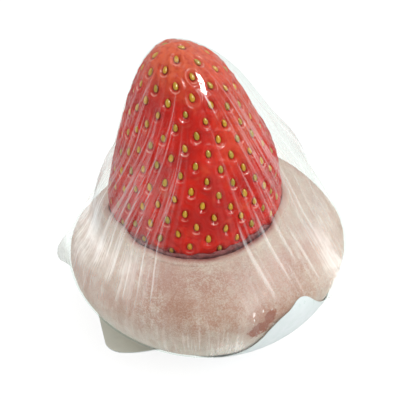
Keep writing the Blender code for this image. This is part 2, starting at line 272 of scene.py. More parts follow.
def addRelief(tree, shader, height, strength, depth):
    relief = add(tree, "ShaderNodeBump", ("Height", height), Strength=strength, Distance=depth)
    tree.links.new(relief.outputs[0], shader.inputs["Normal"])


def paint(tree, shader, colour, finish):
    tree.links.new(colour, shader.inputs["Base Color"])
    setInputs(shader, finish)


def makeSpeckleGroup():
    # soft grains, which may be stretched along the axes
    group = bpy.data.node_groups.new("speckles", "ShaderNodeTree")
    settings = ("Scale", "Detail", "Roughness")
    for name in ("Vector", "Stretch"):
        group.interface.new_socket(name=name, in_out="INPUT", socket_type="NodeSocketVector")
    for name in settings:
        group.interface.new_socket(name=name, in_out="INPUT", socket_type="NodeSocketFloat")
    group.interface.new_socket(name="Amount", in_out="OUTPUT", socket_type="NodeSocketFloat")
    given = add(group, "NodeGroupInput").outputs
    place = add(group, "ShaderNodeMapping", ("Vector", given["Vector"]), ("Scale", given["Stretch"]))
    grains = add(group, "ShaderNodeTexNoise", ("Vector", place.outputs[0]))
    for name in settings:
        group.links.new(given[name], grains.inputs[name])
    add(group, "NodeGroupOutput", ("Amount", grains.outputs["Fac"]))
    return group


speckleGroup = makeSpeckleGroup()


def speckles(tree, coordinates, scale, detail=3.0, roughness=0.5, stretch=(1, 1, 1)):
    node = add(tree, "ShaderNodeGroup", node_tree=speckleGroup)
    tree.links.new(coordinates, node.inputs["Vector"])
    setInputs(node, {"Stretch": stretch, "Scale": scale, "Detail": detail, "Roughness": roughness})
    return node.outputs["Amount"]


def spot(tree, coordinates, middle, radius):
    # 1 at a point of the object and 0 past the radius
    distance = add(tree, "ShaderNodeVectorMath", (0, coordinates), operation="DISTANCE")
    distance.inputs[1].default_value = middle
    return ramp(tree, distance.outputs["Value"], radius, 0.0)


# strawberry

berry = {
    "radius": 18.0 * mm,
    "widestZ": 30.3 * mm,
    "tipZ": 66.6 * mm,
    "footZ": 18.8 * mm,
    "axisX": -1.4 * mm,
    "axisY": 1.0 * mm,
    "lean": 0.6 * mm,
    "bow": 3.6 * mm,
    "taper": 1.3,
    "bluntness": 2.02,
    "footPower": 2.6,
    "shoulderSwell": 0.5 * mm,
    "shoulderZ": 62.5 * mm,
    "swellPitch": 22 * mm,
    "swellGrowsZ": (33 * mm, 39 * mm),
    "swellFadesZ": (64 * mm, 67 * mm),
    "columns": 340,
    "rows": 250,
    "shownFromZ": 24 * mm,
    "shownRowShare": 0.9,
    "unevenness": 0.26 * mm,
    "unevenScales": (170, 420, 0.5),
    "unevenFromZ": (20 * mm, 30 * mm),
    # a point of the skin faces away from the axis this far below it
    "facesFromBelow": 4 * mm,
    "colour": (0.76, 0.017, 0.006),
    "deepColour": (0.56, 0.010, 0.005),
    # painted shade: the hollow of each pit round a seed is darker
    "pitShadeColour": (0.30, 0.006, 0.004),
    # the colour of the pale spots, and of the painted light at the tip and the upper right
    "paleColour": (0.86, 0.15, 0.058),
    "paintedGleamColour": (0.88, 0.33, 0.27),
    "blotches": (140, 2),
    "blotchRange": (0.35, 0.68),
    "paleSpots": (260, 3),
    "paleSpotRange": (0.55, 0.75, 0.0, 0.35),
    "flecks": (850, 3, 0.7),
    "fleckRange": (0.46, 0.68, 0.0, 0.60),
    "pitShadeRange": (0.40, 1.0),
    "paintedGleamRange": (0.2, 0.9, 0.0, 0.9),
    # it is paler at the tip, which faces the light above, and at the upper right, which faces the key light:
    # painted light
    "paintedLightTipZ": (57 * mm, 67 * mm, 0.0, 0.85),
    "paintedLightRightX": (0.0, 8 * mm, 0.0, 0.4),
    "paintedLightRightZ": (42 * mm, 52 * mm),
    "grain": (1100, 4, 0.7),
    "grainRelief": (0.45, 0.10 * mm),
    "finish": {
        "Roughness": 0.30,
        "Specular IOR Level": 0.12,
        "Subsurface Weight": 0.12,
        "Subsurface Radius": (1.0, 0.25, 0.15),
        "Subsurface Scale": 0.8 * mm,
        "Coat Weight": 0.17,
        "Coat Roughness": 0.10,
    },
}

seeds = {
    "places": 320,
    "lowestZ": 27 * mm,
    "segments": 10,
    "rings": 7,
    "halfLength": 0.86 * mm,
    "halfWidth": 0.50 * mm,
    "halfThickness": 0.40 * mm,
    "taper": 0.25,
    "sunk": 0.40 * mm,
    "sunkVaries": (0.9, 1.15),
    "growth": (0.9, 1.12),
    "leansAtMost": 0.22,
    "pitDepth": 0.62 * mm,
    "pitHalfLength": 1.55 * mm,
    "pitHalfWidth": 1.2 * mm,
    "pitBelowSeed": 0.22 * mm,
    "pitSearch": 2.6 * mm,
    "rimHeight": 0.16 * mm,
    # in shares of the way from a pit's middle to its edge: its flat bottom and the raised rim round it
    "pitBottom": 0.25,
    "rimReach": 1.25,
    "rimHalfWidth": 0.28,
    # the lower wall of each pit gets a thin crescent of painted highlight
    "gleamReach": 0.84,  # in the same shares
    "gleamHalfWidth": 0.11,
    "gleamBelow": (0.35, 0.85),  # how squarely below the pit's middle
    "gleamLeast": 0.25,
    "colour": (0.72, 0.38, 0.012),
    "greenColour": (0.47, 0.31, 0.018),
    "greenRange": (0.3, 1.0),
    # painted shade: the seed is darker round its thin edge, where it sits in its pit
    "edgeShadeColour": (0.40, 0.14, 0.008),
    "edgeRange": (0.55, 1.0),
    "finish": {"Roughness": 0.3, "Coat Weight": 0.3},
}


def berryRadius(height):
    if height >= berry["widestZ"]:
        rise = min((height - berry["widestZ"]) / (berry["tipZ"] - berry["widestZ"]), 1)
        return berry["radius"] * (1 - rise ** berry["taper"]) ** (1 / berry["bluntness"])
    fall = min((berry["widestZ"] - height) / (berry["widestZ"] - berry["footZ"]), 1)
    return berry["radius"] * math.sqrt(1 - fall ** berry["footPower"])


def berrySwell(direction, height):
    between = ease(*berry["swellGrowsZ"], height) * (1 - ease(*berry["swellFadesZ"], height))
    wave = math.cos(turn * (height - berry["shoulderZ"]) / berry["swellPitch"])
    return berry["shoulderSwell"] * max(math.cos(direction), 0) * between * wave


def berryAxis(height):
    rise = max((height - berry["widestZ"]) / (berry["tipZ"] - berry["widestZ"]), 0)
    return Vector((berry["axisX"] - berry["lean"] * rise - berry["bow"] * rise**3, berry["axisY"], height))


def berryHeights(steps=240):
    heights = []
    for i in range(steps + 1):
        angle = math.pi * i / steps
        above = angle < math.pi / 2
        reach = berry["tipZ"] - berry["widestZ"] if above else berry["widestZ"] - berry["footZ"]
        heights.append(berry["widestZ"] + reach * math.cos(angle))
    return heights


def berrySpot(direction, height):
    radius = berryRadius(height)
    if radius > 0:
        radius += berrySwell(direction, height)
    return berryAxis(height) + outward(direction) * radius


def berryAreas():
    # how much of the skin's area lies above each height
    heights = berryHeights()
    areas = [0]
    for upper, lower in zip(heights, heights[1:]):
        a, b = berryRadius(upper), berryRadius(lower)
        areas.append(areas[-1] + (a + b) * math.dist((a, upper), (b, lower)))
    return [area / areas[-1] for area in areas], heights


def seedPlaces():
    # golden-angle spiral from the tip down; each place has its middle and the ways to the tip, across and out
    areas, heights = berryAreas()

    def onSkin(unit):
        share = clamped((1 - unit.z) / 2)
        i = min(max(bisect.bisect_left(areas, share), 1), len(areas) - 1)
        part = (share - areas[i - 1]) / (areas[i] - areas[i - 1])
        height = heights[i - 1] + (heights[i] - heights[i - 1]) * part
        return berrySpot(math.atan2(unit.y, unit.x), height)

    found = []
    step = Vector((0, 0, 0.05))  # to a point close by, which shows the way the skin runs
    for index in range(seeds["places"]):
        z = 1 - (2 * index + 1) / seeds["places"]
        flat = math.sqrt(1 - z * z)
        unit = Vector((flat * math.cos(index * goldenAngle), flat * math.sin(index * goldenAngle), z))
        middle = onSkin(unit)
        if middle.z < seeds["lowestZ"]:
            continue
        toTip = (onSkin((unit + step).normalized()) - middle).normalized()
        beside = (unit + unit.cross(Vector((0, 0, 1))).normalized() * step.z).normalized()
        across = (onSkin(beside) - middle).normalized()
        out = across.cross(toTip).normalized()
        if out.dot(middle - berryAxis(middle.z - berry["facesFromBelow"])) < 0:
            out.negate()
        across = toTip.cross(out).normalized()
        found.append((middle, toTip, across, out))
    return found


def makeBerryFlesh(places):
    # most of its rows lie above the rice cake's mouth
    heights = berryHeights()
    lengths = lengthsAlong([(berryRadius(height), height) for height in heights])
    line = list(zip(lengths, heights))
    shown = next(length for length, height in line if height < berry["shownFromZ"])
    rowHeights = []
    for j in range(berry["rows"] + 1):
        share = j / berry["rows"]
        if share < berry["shownRowShare"]:
            length = shown * share / berry["shownRowShare"]
        else:
            hidden = (share - berry["shownRowShare"]) / (1 - berry["shownRowShare"])
            length = shown + (lengths[-1] - shown) * hidden
        rowHeights.append(pointAlong(line, lengths, length)[1])

    def column(direction):
        return [berrySpot(direction, height) for height in rowHeights]

    flesh = wrapGrid("berry_flesh", berry["columns"], berry["rows"], column)
    nearby = kdtree.KDTree(len(places))
    for index, place in enumerate(places):
        nearby.insert(place[0], index)
    nearby.balance()
    pits, paintedGleams = [], []
    for vert in flesh.data.vertices:
        point = vert.co.copy()
        out = (point - berryAxis(point.z - berry["facesFromBelow"])).normalized()
        uneven = lumps(point, *berry["unevenScales"])
        move = out * uneven * berry["unevenness"] * ease(*berry["unevenFromZ"], point.z)
        sunk, paintedGleam = 0, 0
        for _, index, _ in nearby.find_range(point, seeds["pitSearch"]):
            middle, toTip, across, seedOut = places[index]
            away = point - middle
            sideways = away.dot(across) / seeds["pitHalfWidth"]
            along = (away.dot(toTip) + seeds["pitBelowSeed"]) / seeds["pitHalfLength"]
            reach = math.hypot(sideways, along)
            hollow = 1 - ease(seeds["pitBottom"], 1.0, reach)
            rim = seeds["rimHeight"] * bump(reach - seeds["rimReach"], seeds["rimHalfWidth"])
            move -= seedOut * (seeds["pitDepth"] * hollow - rim)
            sunk = max(sunk, hollow)
            crescent = bump(reach - seeds["gleamReach"], seeds["gleamHalfWidth"])
            crescent *= ease(*seeds["gleamBelow"], -along / max(reach, 0.01))
            varied = seeds["gleamLeast"] + (1 - seeds["gleamLeast"]) * (index * goldenAngle % 1)
            paintedGleam = max(paintedGleam, crescent * varied)
        vert.co = point + move
        pits.append(sunk)
        paintedGleams.append(paintedGleam)
    setNumbers(flesh, "pit", pits)
    setNumbers(flesh, "paintedGleam", paintedGleams)
    return flesh


def makeSeeds(places):
    # one seed, shaped once and copied into every pit
    draw = random.Random(4)
    deselect()
    bpy.ops.mesh.primitive_uv_sphere_add(segments=seeds["segments"], ring_count=seeds["rings"], radius=1)
    first = justAdded("berry_seeds")
    editAll(first)
    size = (seeds["halfWidth"], seeds["halfLength"], seeds["halfThickness"])
    bpy.ops.transform.resize(value=size, center_override=(0, 0, 0))
    bpy.ops.object.mode_set(mode="OBJECT")
    edges = []
    for vert in first.data.vertices:
        along = vert.co.y / seeds["halfLength"]
        vert.co.x *= 1 - seeds["taper"] * along
        edges.append(1 - abs(vert.co.z) / seeds["halfThickness"])
    setNumbers(first, "seedEdge", edges)
    shape = first.data.copy()
    copies = []
    for index, (middle, toTip, across, out) in enumerate(places):
        piece = first
        if index:
            piece = first.copy()
            piece.data = shape.copy()
            bpy.context.scene.collection.objects.link(piece)
        lean = draw.uniform(-seeds["leansAtMost"], seeds["leansAtMost"])
        up = (toTip * math.cos(lean) + across * math.sin(lean)).normalized()
        side = up.cross(out).normalized()
        grown = draw.uniform(*seeds["growth"])
        place = Matrix((side * grown, up * grown, out * grown)).transposed().to_4x4()
        place.translation = middle - out * seeds["sunk"] * draw.uniform(*seeds["sunkVaries"])
        piece.data.transform(place)
        tint = draw.random()
        setNumbers(piece, "seedTint", [tint] * len(piece.data.vertices))
        copies.append(piece)
    deselect()
    for piece in copies:
        piece.select_set(True)
    bpy.context.view_layer.objects.active = first
    bpy.ops.object.join()
    bpy.ops.object.shade_smooth()
    bpy.data.meshes.remove(shape)
    return first


def berrySkinMaterial():
    material, tree, skin = newMaterial("berry_skin")
    place = add(tree, "ShaderNodeTexCoord").outputs["Object"]
    axes = add(tree, "ShaderNodeSeparateXYZ", ("Vector", place)).outputs
    blotches = ramp(tree, speckles(tree, place, *berry["blotches"]), *berry["blotchRange"])
    colour = mixColor(tree, blotches, berry["deepColour"], berry["colour"])
    paleSpots = ramp(tree, speckles(tree, place, *berry["paleSpots"]), *berry["paleSpotRange"])
    # painted light: the tip and the upper right are made paler, as if lit
    nearTip = ramp(tree, axes["Z"], *berry["paintedLightTipZ"])
    upper = ramp(tree, axes["Z"], *berry["paintedLightRightZ"])
    upperRight = times(tree, ramp(tree, axes["X"], *berry["paintedLightRightX"]), upper)
    paleAndLit = plus(tree, plus(tree, paleSpots, upperRight), nearTip, clamp=True)
    colour = mixColor(tree, paleAndLit, colour, berry["paleColour"])
    flecks = ramp(tree, speckles(tree, place, *berry["flecks"]), *berry["fleckRange"])
    colour = mixColor(tree, flecks, colour, berry["deepColour"])
    # the pits are darkened with painted shade
    pit = ramp(tree, readNumber(tree, "pit"), *berry["pitShadeRange"])
    colour = mixColor(tree, pit, colour, berry["pitShadeColour"])
    # painted highlight: pale crescents on the pits' lower walls
    paintedGleam = ramp(tree, readNumber(tree, "paintedGleam"), *berry["paintedGleamRange"])
    colour = mixColor(tree, paintedGleam, colour, berry["paintedGleamColour"])
    addRelief(tree, skin, speckles(tree, place, *berry["grain"]), *berry["grainRelief"])
    paint(tree, skin, colour, berry["finish"])
    return material


def seedMaterial():
    material, tree, skin = newMaterial("berry_seed")
    green = ramp(tree, readNumber(tree, "seedTint"), *seeds["greenRange"])
    colour = mixColor(tree, green, seeds["colour"], seeds["greenColour"])
    # painted shade round the seed's edge
    edge = ramp(tree, readNumber(tree, "seedEdge"), *seeds["edgeRange"])
    colour = mixColor(tree, edge, colour, seeds["edgeShadeColour"])
    paint(tree, skin, colour, seeds["finish"])
    return material


# rice cake

cake = {
    "radius": 29.0 * mm,
    "middleX": 1.2 * mm,
    "middleY": 0.0,
    "floorZ": 1.3 * mm,
    "bellyZ": 18.0 * mm,
    "bellyTilt": 1.8 * mm,
    "crownPower": 1.85,
    "footPower": 1.7,
    "footRadius": 13.5 * mm,
    "skin": 5.2 * mm,
    # the lip touches the berry but for a gap at the front
    "mouthGap": 0.02 * mm,
    "mouthGapExtra": 1.20 * mm,
    "mouthOpensTowards": math.radians(-83),
    "mouthOpenAngles": (math.radians(42), math.radians(63)),
    "mouthWaves": 0.24 * mm,
    "mouthWaveScale": 3.7,
    "lipZ": 30.6 * mm,
    "lipDips": ((atFront, 3.1 * mm), (math.radians(150), 6.0 * mm)),
    "lipDipHalfAngle": math.radians(42),
    "lipWaves": 0.35 * mm,
    "lipWaveScale": 4.3,
    "lipWidth": 1.7 * mm,
    "lipRise": 0.55 * mm,
    "lipSwell": 1.02,
    # how far round its edge the lip turns, and how fast it comes inwards there
    "lipTurn": 0.62 * math.pi,
    "lipInwards": 1.36,
    "mouthWallDepth": 2.0 * mm,
    "mouthWallFlare": 0.9 * mm,
    "mouthDrift": 8 * mm,
    # points of the inside round the belly: how far out and up from there, in skin thicknesses
    "insideBend": ((-0.13, 0.65), (0.0, -0.2), (-0.42, -1.15)),
    "columns": 320,
    "rows": 150,
    "insideRows": 34,
    "bendShare": 0.3,
    "lumps": 0.28 * mm,
    "lumpScales": (95, 240, 0.45),
    "wrinkles": 0.05 * mm,
    "wrinkleScales": (26, 60),
    # lumps and wrinkles fade out towards the foot and inside the mouth, and rise more on the crown
    "lumpsFromZ": (4 * mm, 10 * mm),
    "lumpsInsideMouth": 4 * mm,
    "crownZ": (20 * mm, 30 * mm),
    "crownRise": 0.5,
    "colour": (0.52, 0.247, 0.166),
    "deepColour": (0.46, 0.190, 0.117),
    "tones": (75, 3),
    "toneRange": (0.38, 0.66),
    "lipColour": (0.54, 0.265, 0.215),
    "lipColourZ": (21 * mm, 28 * mm, 0.0, 0.6),
    "mottles": (380, 6, 0.72),
    "powder": (2700, 2, 0.8),
    "drift": (110, 4),
    # starch lies in the mottles and as powder, and most of all on the crown and at both sides; the extra at
    # the right side is also painted light, from the light on that side
    "starchColour": (0.74, 0.595, 0.50),
    "starchPowder": (0.44, 0.62, 0.0, 0.50),
    "starchMottles": (0.40, 0.66, 0.0, 0.42),
    "starchDrift": (0.36, 0.62, 0.5, 1.0),
    "starchCrownZ": (25.5 * mm, 29.5 * mm, 0.0, 0.60),
    "starchLeftX": (-12 * mm, -18 * mm),
    "starchLeftZ": (18 * mm, 24 * mm, 0.0, 0.50),
    "starchAndLightRightX": (16 * mm, 28 * mm, 0.0, 0.45),
    "lowColour": (0.77, 0.648, 0.565),
    "lowZ": (21.5 * mm, 9.5 * mm),
    "lowMottles": (0.3, 0.6, 0.6, 1.0),
    # a dark red band on the lip next to the berry: juice stain, and painted shade in the gap between them,
    # most where the mouth gapes
    "stainAndShadeColour": (0.32, 0.055, 0.050),
    "stainAndShadeWidth": 1.6 * mm,
    "stainAndShadeFromZ": (20 * mm, 23 * mm),
    "stainAndShadeWhereShut": 0.2,
    "stainAndShadeMottles": (0.35, 0.60, 0.45, 0.95),
    "wetColour": (0.39, 0.128, 0.076),
    "wetPatches": (
        # middle and radius, along the label's edge
        ((13.7 * mm, -26.0 * mm, 19.0 * mm), 2.7 * mm),
        ((12.2 * mm, -26.7 * mm, 17.0 * mm), 2.9 * mm),
        ((10.6 * mm, -27.3 * mm, 15.2 * mm), 2.6 * mm),
    ),
    "wetMottles": (0.3, 0.7, -0.45, 0.45),
    "wetRange": (0.24, 0.52),
    "wetEdge": (0.05, 0.25),
    "dullness": (0.0, 1.0, 0.45, 0.75),
    "wetDullness": (0.0, 1.0, 1.0, 0.25),
    "relief": (0.15, 0.15 * mm),
    "finish": {
        "Subsurface Weight": 0.25,
        "Subsurface Radius": (1.0, 0.55, 0.4),
        "Subsurface Scale": 1.6 * mm,
    },
}

paste = {
    # the rim is just under the lip where the mouth gapes, and well below it elsewhere
    "rimDrop": 0.75 * mm,
    "rimDropShut": 2.2 * mm,
    "rim": (
        # share of the way from the berry to the lip, height above the top of the smear, more where it gapes
        (0.10, 0.06 * mm, 0.0),
        (0.28, 0.0, -0.10 * mm),
    ),
    "rimByLip": (
        # the same, above the rim
        (0.62, 0.0, 0.30 * mm),
        (0.98, 0.05 * mm, 0.0),
    ),
    "gap": 0.25 * mm,
    "footGap": 1.3,
    "fromCake": 0.3 * mm,
    "wallBelowRim": 0.2 * mm,
    # the rim is smeared up the berry's foot, most at the front right
    "smearLeast": 0.15 * mm,
    "smearShownFrom": 0.1 * mm,
    "smear": 0.55 * mm,
    "smearExtra": 0.75 * mm,
    "smearTowards": math.radians(-62),
    "smearHalfAngle": math.radians(38),
    "ragged": 0.55 * mm,
    "raggedScale": 9,
    "grain": 0.26 * mm,
    "grainScales": (900, 2100, 0.6),
    "grainFromZ": (22 * mm, 25 * mm),
    "columns": 300,
    "rows": 84,
    "cupRows": 24,
    "cupSteps": 16,
    "bendShare": 0.35,
    "colour": (0.085, 0.013, 0.012),
    "paleColour": (0.22, 0.05, 0.05),
    "specks": (900, 4),
    "paleRange": (0.42, 0.7),
    "smearColour": (0.35, 0.095, 0.095),
    "smearRange": (0.15, 0.9),
    "smearSpecks": (0.3, 0.6, 0.5, 1.0),
    "relief": (0.4, 0.15 * mm),
    "finish": {"Roughness": 0.6, "Specular IOR Level": 0.1},
}


def mouthOpens(direction):
    return 1 - ease(*cake["mouthOpenAngles"], angleBetween(direction, cake["mouthOpensTowards"]))


def bellyHeight(direction):
    return cake["bellyZ"] + cake["bellyTilt"] * math.cos(direction)


def lipHeight(direction):
    height = cake["lipZ"] + cake["lipWaves"] * noise.noise(outward(direction) * cake["lipWaveScale"])
    for towards, depth in cake["lipDips"]:
        height -= depth * bump(angleBetween(direction, towards), cake["lipDipHalfAngle"])
    return height


def mouthRadius(direction):
    opens = mouthOpens(direction)
    waves = cake["mouthWaves"] * noise.noise(outward(direction) * cake["mouthWaveScale"])
    wider = cake["mouthGapExtra"] * opens + waves
    narrower = (berry["radius"] - berryRadius(lipHeight(direction))) * (1 - opens)
    return berry["radius"] + cake["mouthGap"] + wider - narrower


def cakeCrown(direction, radius):
    def fullness(out):
        return (1 - min(out / cake["radius"], 1) ** 2) ** (1 / cake["crownPower"])

    belly = bellyHeight(direction)
    share = fullness(radius) / fullness(mouthRadius(direction) + cake["lipWidth"])
    return belly + (lipHeight(direction) - cake["lipRise"] - belly) * share


def cakeOutside(direction, steps=24):
    # the foot's flat, the round lower half and the crown, up to the lip's outer side
    belly = bellyHeight(direction)
    profile = [(0, cake["floorZ"])]
    fromFoot = cake["radius"] - cake["footRadius"]
    for i in range(steps + 1):
        angle = math.pi / 2 * i / steps
        out = cake["footRadius"] + fromFoot * math.sin(angle) ** (2 / cake["footPower"])
        down = math.cos(angle) ** (2 / cake["footPower"])
        profile.append((out, belly - (belly - cake["floorZ"]) * down))
    lipStart = mouthRadius(direction) + cake["lipWidth"]
    for i in range(1, steps + 1):
        share = (i / steps) ** 0.6  # longer steps near the belly, where the crown is steep
        inwards = 1 - math.sqrt(1 - share**2) if i < steps else 1
        out = cake["radius"] + (lipStart - cake["radius"]) * inwards
        profile.append((out, cakeCrown(direction, out)))
    return profile


def cakeLip(direction, steps=8):
    inner = mouthRadius(direction)
    start = cakeCrown(direction, inner + cake["lipWidth"])
    lip = []
    for i in range(1, steps + 1):
        angle = cake["lipTurn"] * i / steps
        out = inner + cake["lipWidth"] * (1 - (1 - math.cos(angle)) / cake["lipInwards"])
        lip.append((max(out, inner), start + cake["lipRise"] * math.sin(angle) * cake["lipSwell"]))
    return lip


def cakeInside(direction):
    belly = bellyHeight(direction)
    inner = mouthRadius(direction)
    wallFoot = cakeCrown(direction, inner + cake["lipWidth"]) - cake["lipWidth"] - cake["mouthWallDepth"]
    wall = cake["radius"] - cake["skin"]
    floor = cake["floorZ"] + cake["skin"]
    bend = [(wall + cake["skin"] * out, belly + cake["skin"] * up) for out, up in cake["insideBend"]]
    upper = [(inner, wallFoot + cake["mouthWallDepth"]), (inner + cake["mouthWallFlare"], wallFoot)]
    return upper + bend + [(cake["footRadius"], floor), (0, floor)]


def mouthCentre(height):
    share = ease(cake["bellyZ"], cake["bellyZ"] + cake["mouthDrift"], height)
    x = cake["middleX"] + (berry["axisX"] - cake["middleX"]) * share
    return (x, cake["middleY"] + (berry["axisY"] - cake["middleY"]) * share)


def makeRiceCake():
    outerRows = cake["rows"] + 1 - cake["insideRows"]

    def column(direction):
        outer = resampled(cakeOutside(direction) + cakeLip(direction), outerRows, cake["bendShare"])
        inner = resampled([outer[-1]] + cakeInside(direction), cake["insideRows"] + 1)[1:]
        inner[-1] = (0, inner[-1][1])
        return placed(outer + inner, direction, mouthCentre)

    skin = wrapGrid("rice_cake_skin", cake["columns"], cake["rows"], column)
    stainAndShadeNumbers = []
    for vert in skin.data.vertices:
        point = vert.co.copy()
        centre = mouthCentre(point.z)
        away = Vector((point.x - centre[0], point.y - centre[1], 0))
        direction = math.atan2(away.y, away.x)
        upward = Vector((0, 0, cake["crownRise"] * ease(*cake["crownZ"], point.z)))
        rounded = (away.normalized() + upward).normalized()
        roundScale, upScale = cake["wrinkleScales"]
        wrinkle = noise.noise(Vector((direction * roundScale, point.z * upScale, 3.0)))
        amount = lumps(point, *cake["lumpScales"]) * cake["lumps"] + wrinkle * cake["wrinkles"]
        outside = ease(berry["radius"] - cake["lumpsInsideMouth"], berry["radius"], away.length)
        vert.co = point + rounded * amount * (ease(*cake["lumpsFromZ"], point.z) * outside)
        # juice stain and painted shade along the lip, fainter where the mouth is shut
        stainAndShade = 1 - ease(0, cake["stainAndShadeWidth"], away.length - mouthRadius(direction))
        stainAndShade *= cake["stainAndShadeWhereShut"] + (1 - cake["stainAndShadeWhereShut"]) * mouthOpens(direction)
        stainAndShadeNumbers.append(stainAndShade * ease(*cake["stainAndShadeFromZ"], point.z))
    setNumbers(skin, "stainAndShade", stainAndShadeNumbers)
    return skin


def makeBeanFilling():
    marks = {"smear": []}

    def column(direction):
        opens = mouthOpens(direction)
        rimZ = lipHeight(direction) - paste["rimDrop"] - paste["rimDropShut"] * (1 - opens)
        smear = paste["smear"] + paste["ragged"] * noise.noise(outward(direction) * paste["raggedScale"])
        fromMost = angleBetween(direction, paste["smearTowards"])
        smear += paste["smearExtra"] * bump(fromMost, paste["smearHalfAngle"])
        topZ = rimZ + paste["smearLeast"] + smear * opens
        cup = [(0, berry["footZ"] - paste["gap"] * paste["footGap"])]
        for i in range(1, paste["cupSteps"] + 1):
            height = berry["footZ"] + (topZ - berry["footZ"]) * (i / paste["cupSteps"]) ** 2
            cup.append((berryRadius(height), height))
        cup = cup[:1] + offsetProfile(cup, paste["gap"])[1:]
        edge = cup[-1][0]
        lip = mouthRadius(direction)
        rim = []
        for points, base in ((paste["rim"], topZ), (paste["rimByLip"], rimZ)):
            for share, above, more in points:
                rim.append((edge + (lip - edge) * share, base + above + more * opens))
        wall = offsetProfile(cakeInside(direction), paste["fromCake"])
        wall = [(radius, min(height, rimZ - paste["wallBelowRim"])) for radius, height in wall]
        wall[-1] = (0, wall[-1][1])
        inner = placed(resampled(cup, paste["cupRows"]), direction, berryAxis)
        outerRows = paste["rows"] + 2 - paste["cupRows"]
        outer = resampled([cup[-1]] + rim + wall, outerRows, paste["bendShare"])[1:]
        outer[-1] = (0, outer[-1][1])
        heights = [point.z for point in inner] + [height for _, height in outer]
        shownFrom = rimZ + paste["smearShownFrom"]
        marks["smear"].append([opens * ease(shownFrom, topZ, height) for height in heights])
        return inner + placed(outer, direction, mouthCentre)

    filling = wrapGrid("bean_filling", paste["columns"], paste["rows"], column, marks=marks)
    for vert in filling.data.vertices:
        grain = lumps(vert.co, *paste["grainScales"])
        vert.co.z += grain * paste["grain"] * ease(*paste["grainFromZ"], vert.co.z)
    return filling


def riceCakeMaterial():
    material, tree, skin = newMaterial("rice_cake")
    place = add(tree, "ShaderNodeTexCoord").outputs["Object"]
    axes = add(tree, "ShaderNodeSeparateXYZ", ("Vector", place)).outputs
    height = axes["Z"]
    mottles = speckles(tree, place, *cake["mottles"])
    tones = ramp(tree, speckles(tree, place, *cake["tones"]), *cake["toneRange"])
    colour = mixColor(tree, tones, cake["deepColour"], cake["colour"])
    colour = mixColor(tree, ramp(tree, height, *cake["lipColourZ"]), colour, cake["lipColour"])
    powder = ramp(tree, speckles(tree, place, *cake["powder"]), *cake["starchPowder"])
    starch = plus(tree, powder, ramp(tree, mottles, *cake["starchMottles"]))
    drift = ramp(tree, speckles(tree, place, *cake["drift"]), *cake["starchDrift"])
    starch = plus(tree, times(tree, starch, drift), ramp(tree, height, *cake["starchCrownZ"]))
    leftSide = ramp(tree, axes["X"], *cake["starchLeftX"])
    starch = plus(tree, starch, times(tree, leftSide, ramp(tree, height, *cake["starchLeftZ"])))
    # starch, and painted light on the right side
    starch = plus(tree, starch, ramp(tree, axes["X"], *cake["starchAndLightRightX"]), clamp=True)
    colour = mixColor(tree, starch, colour, cake["starchColour"])
    low = times(tree, ramp(tree, height, *cake["lowZ"]), ramp(tree, mottles, *cake["lowMottles"]))
    colour = mixColor(tree, low, colour, cake["lowColour"])
    wet = None
    for middle, radius in cake["wetPatches"]:
        patch = spot(tree, place, middle, radius)
        wet = patch if wet is None else math2(tree, "MAXIMUM", wet, patch)
    ragged = plus(tree, wet, ramp(tree, mottles, *cake["wetMottles"]))
    wet = times(tree, ramp(tree, ragged, *cake["wetRange"]), ramp(tree, wet, *cake["wetEdge"]))
    colour = mixColor(tree, wet, colour, cake["wetColour"])
    # juice stain and painted shade by the berry
    stainAndShade = times(tree, readNumber(tree, "stainAndShade"), ramp(tree, mottles, *cake["stainAndShadeMottles"]))
    colour = mixColor(tree, stainAndShade, colour, cake["stainAndShadeColour"])
    dull = times(tree, ramp(tree, starch, *cake["dullness"]), ramp(tree, wet, *cake["wetDullness"]))
    tree.links.new(dull, skin.inputs["Roughness"])
    addRelief(tree, skin, mottles, *cake["relief"])
    paint(tree, skin, colour, cake["finish"])
    return material


def beanPasteMaterial():
    material, tree, skin = newMaterial("bean_paste")
    place = add(tree, "ShaderNodeTexCoord").outputs["Object"]
    specks = speckles(tree, place, *paste["specks"])
    colour = mixColor(tree, ramp(tree, specks, *paste["paleRange"]), paste["colour"], paste["paleColour"])
    smeared = ramp(tree, readNumber(tree, "smear"), *paste["smearRange"])
    smeared = times(tree, smeared, ramp(tree, specks, *paste["smearSpecks"]))
    colour = mixColor(tree, smeared, colour, paste["smearColour"])
    addRelief(tree, skin, specks, *paste["relief"])
    paint(tree, skin, colour, paste["finish"])
    return material


# clear wrap

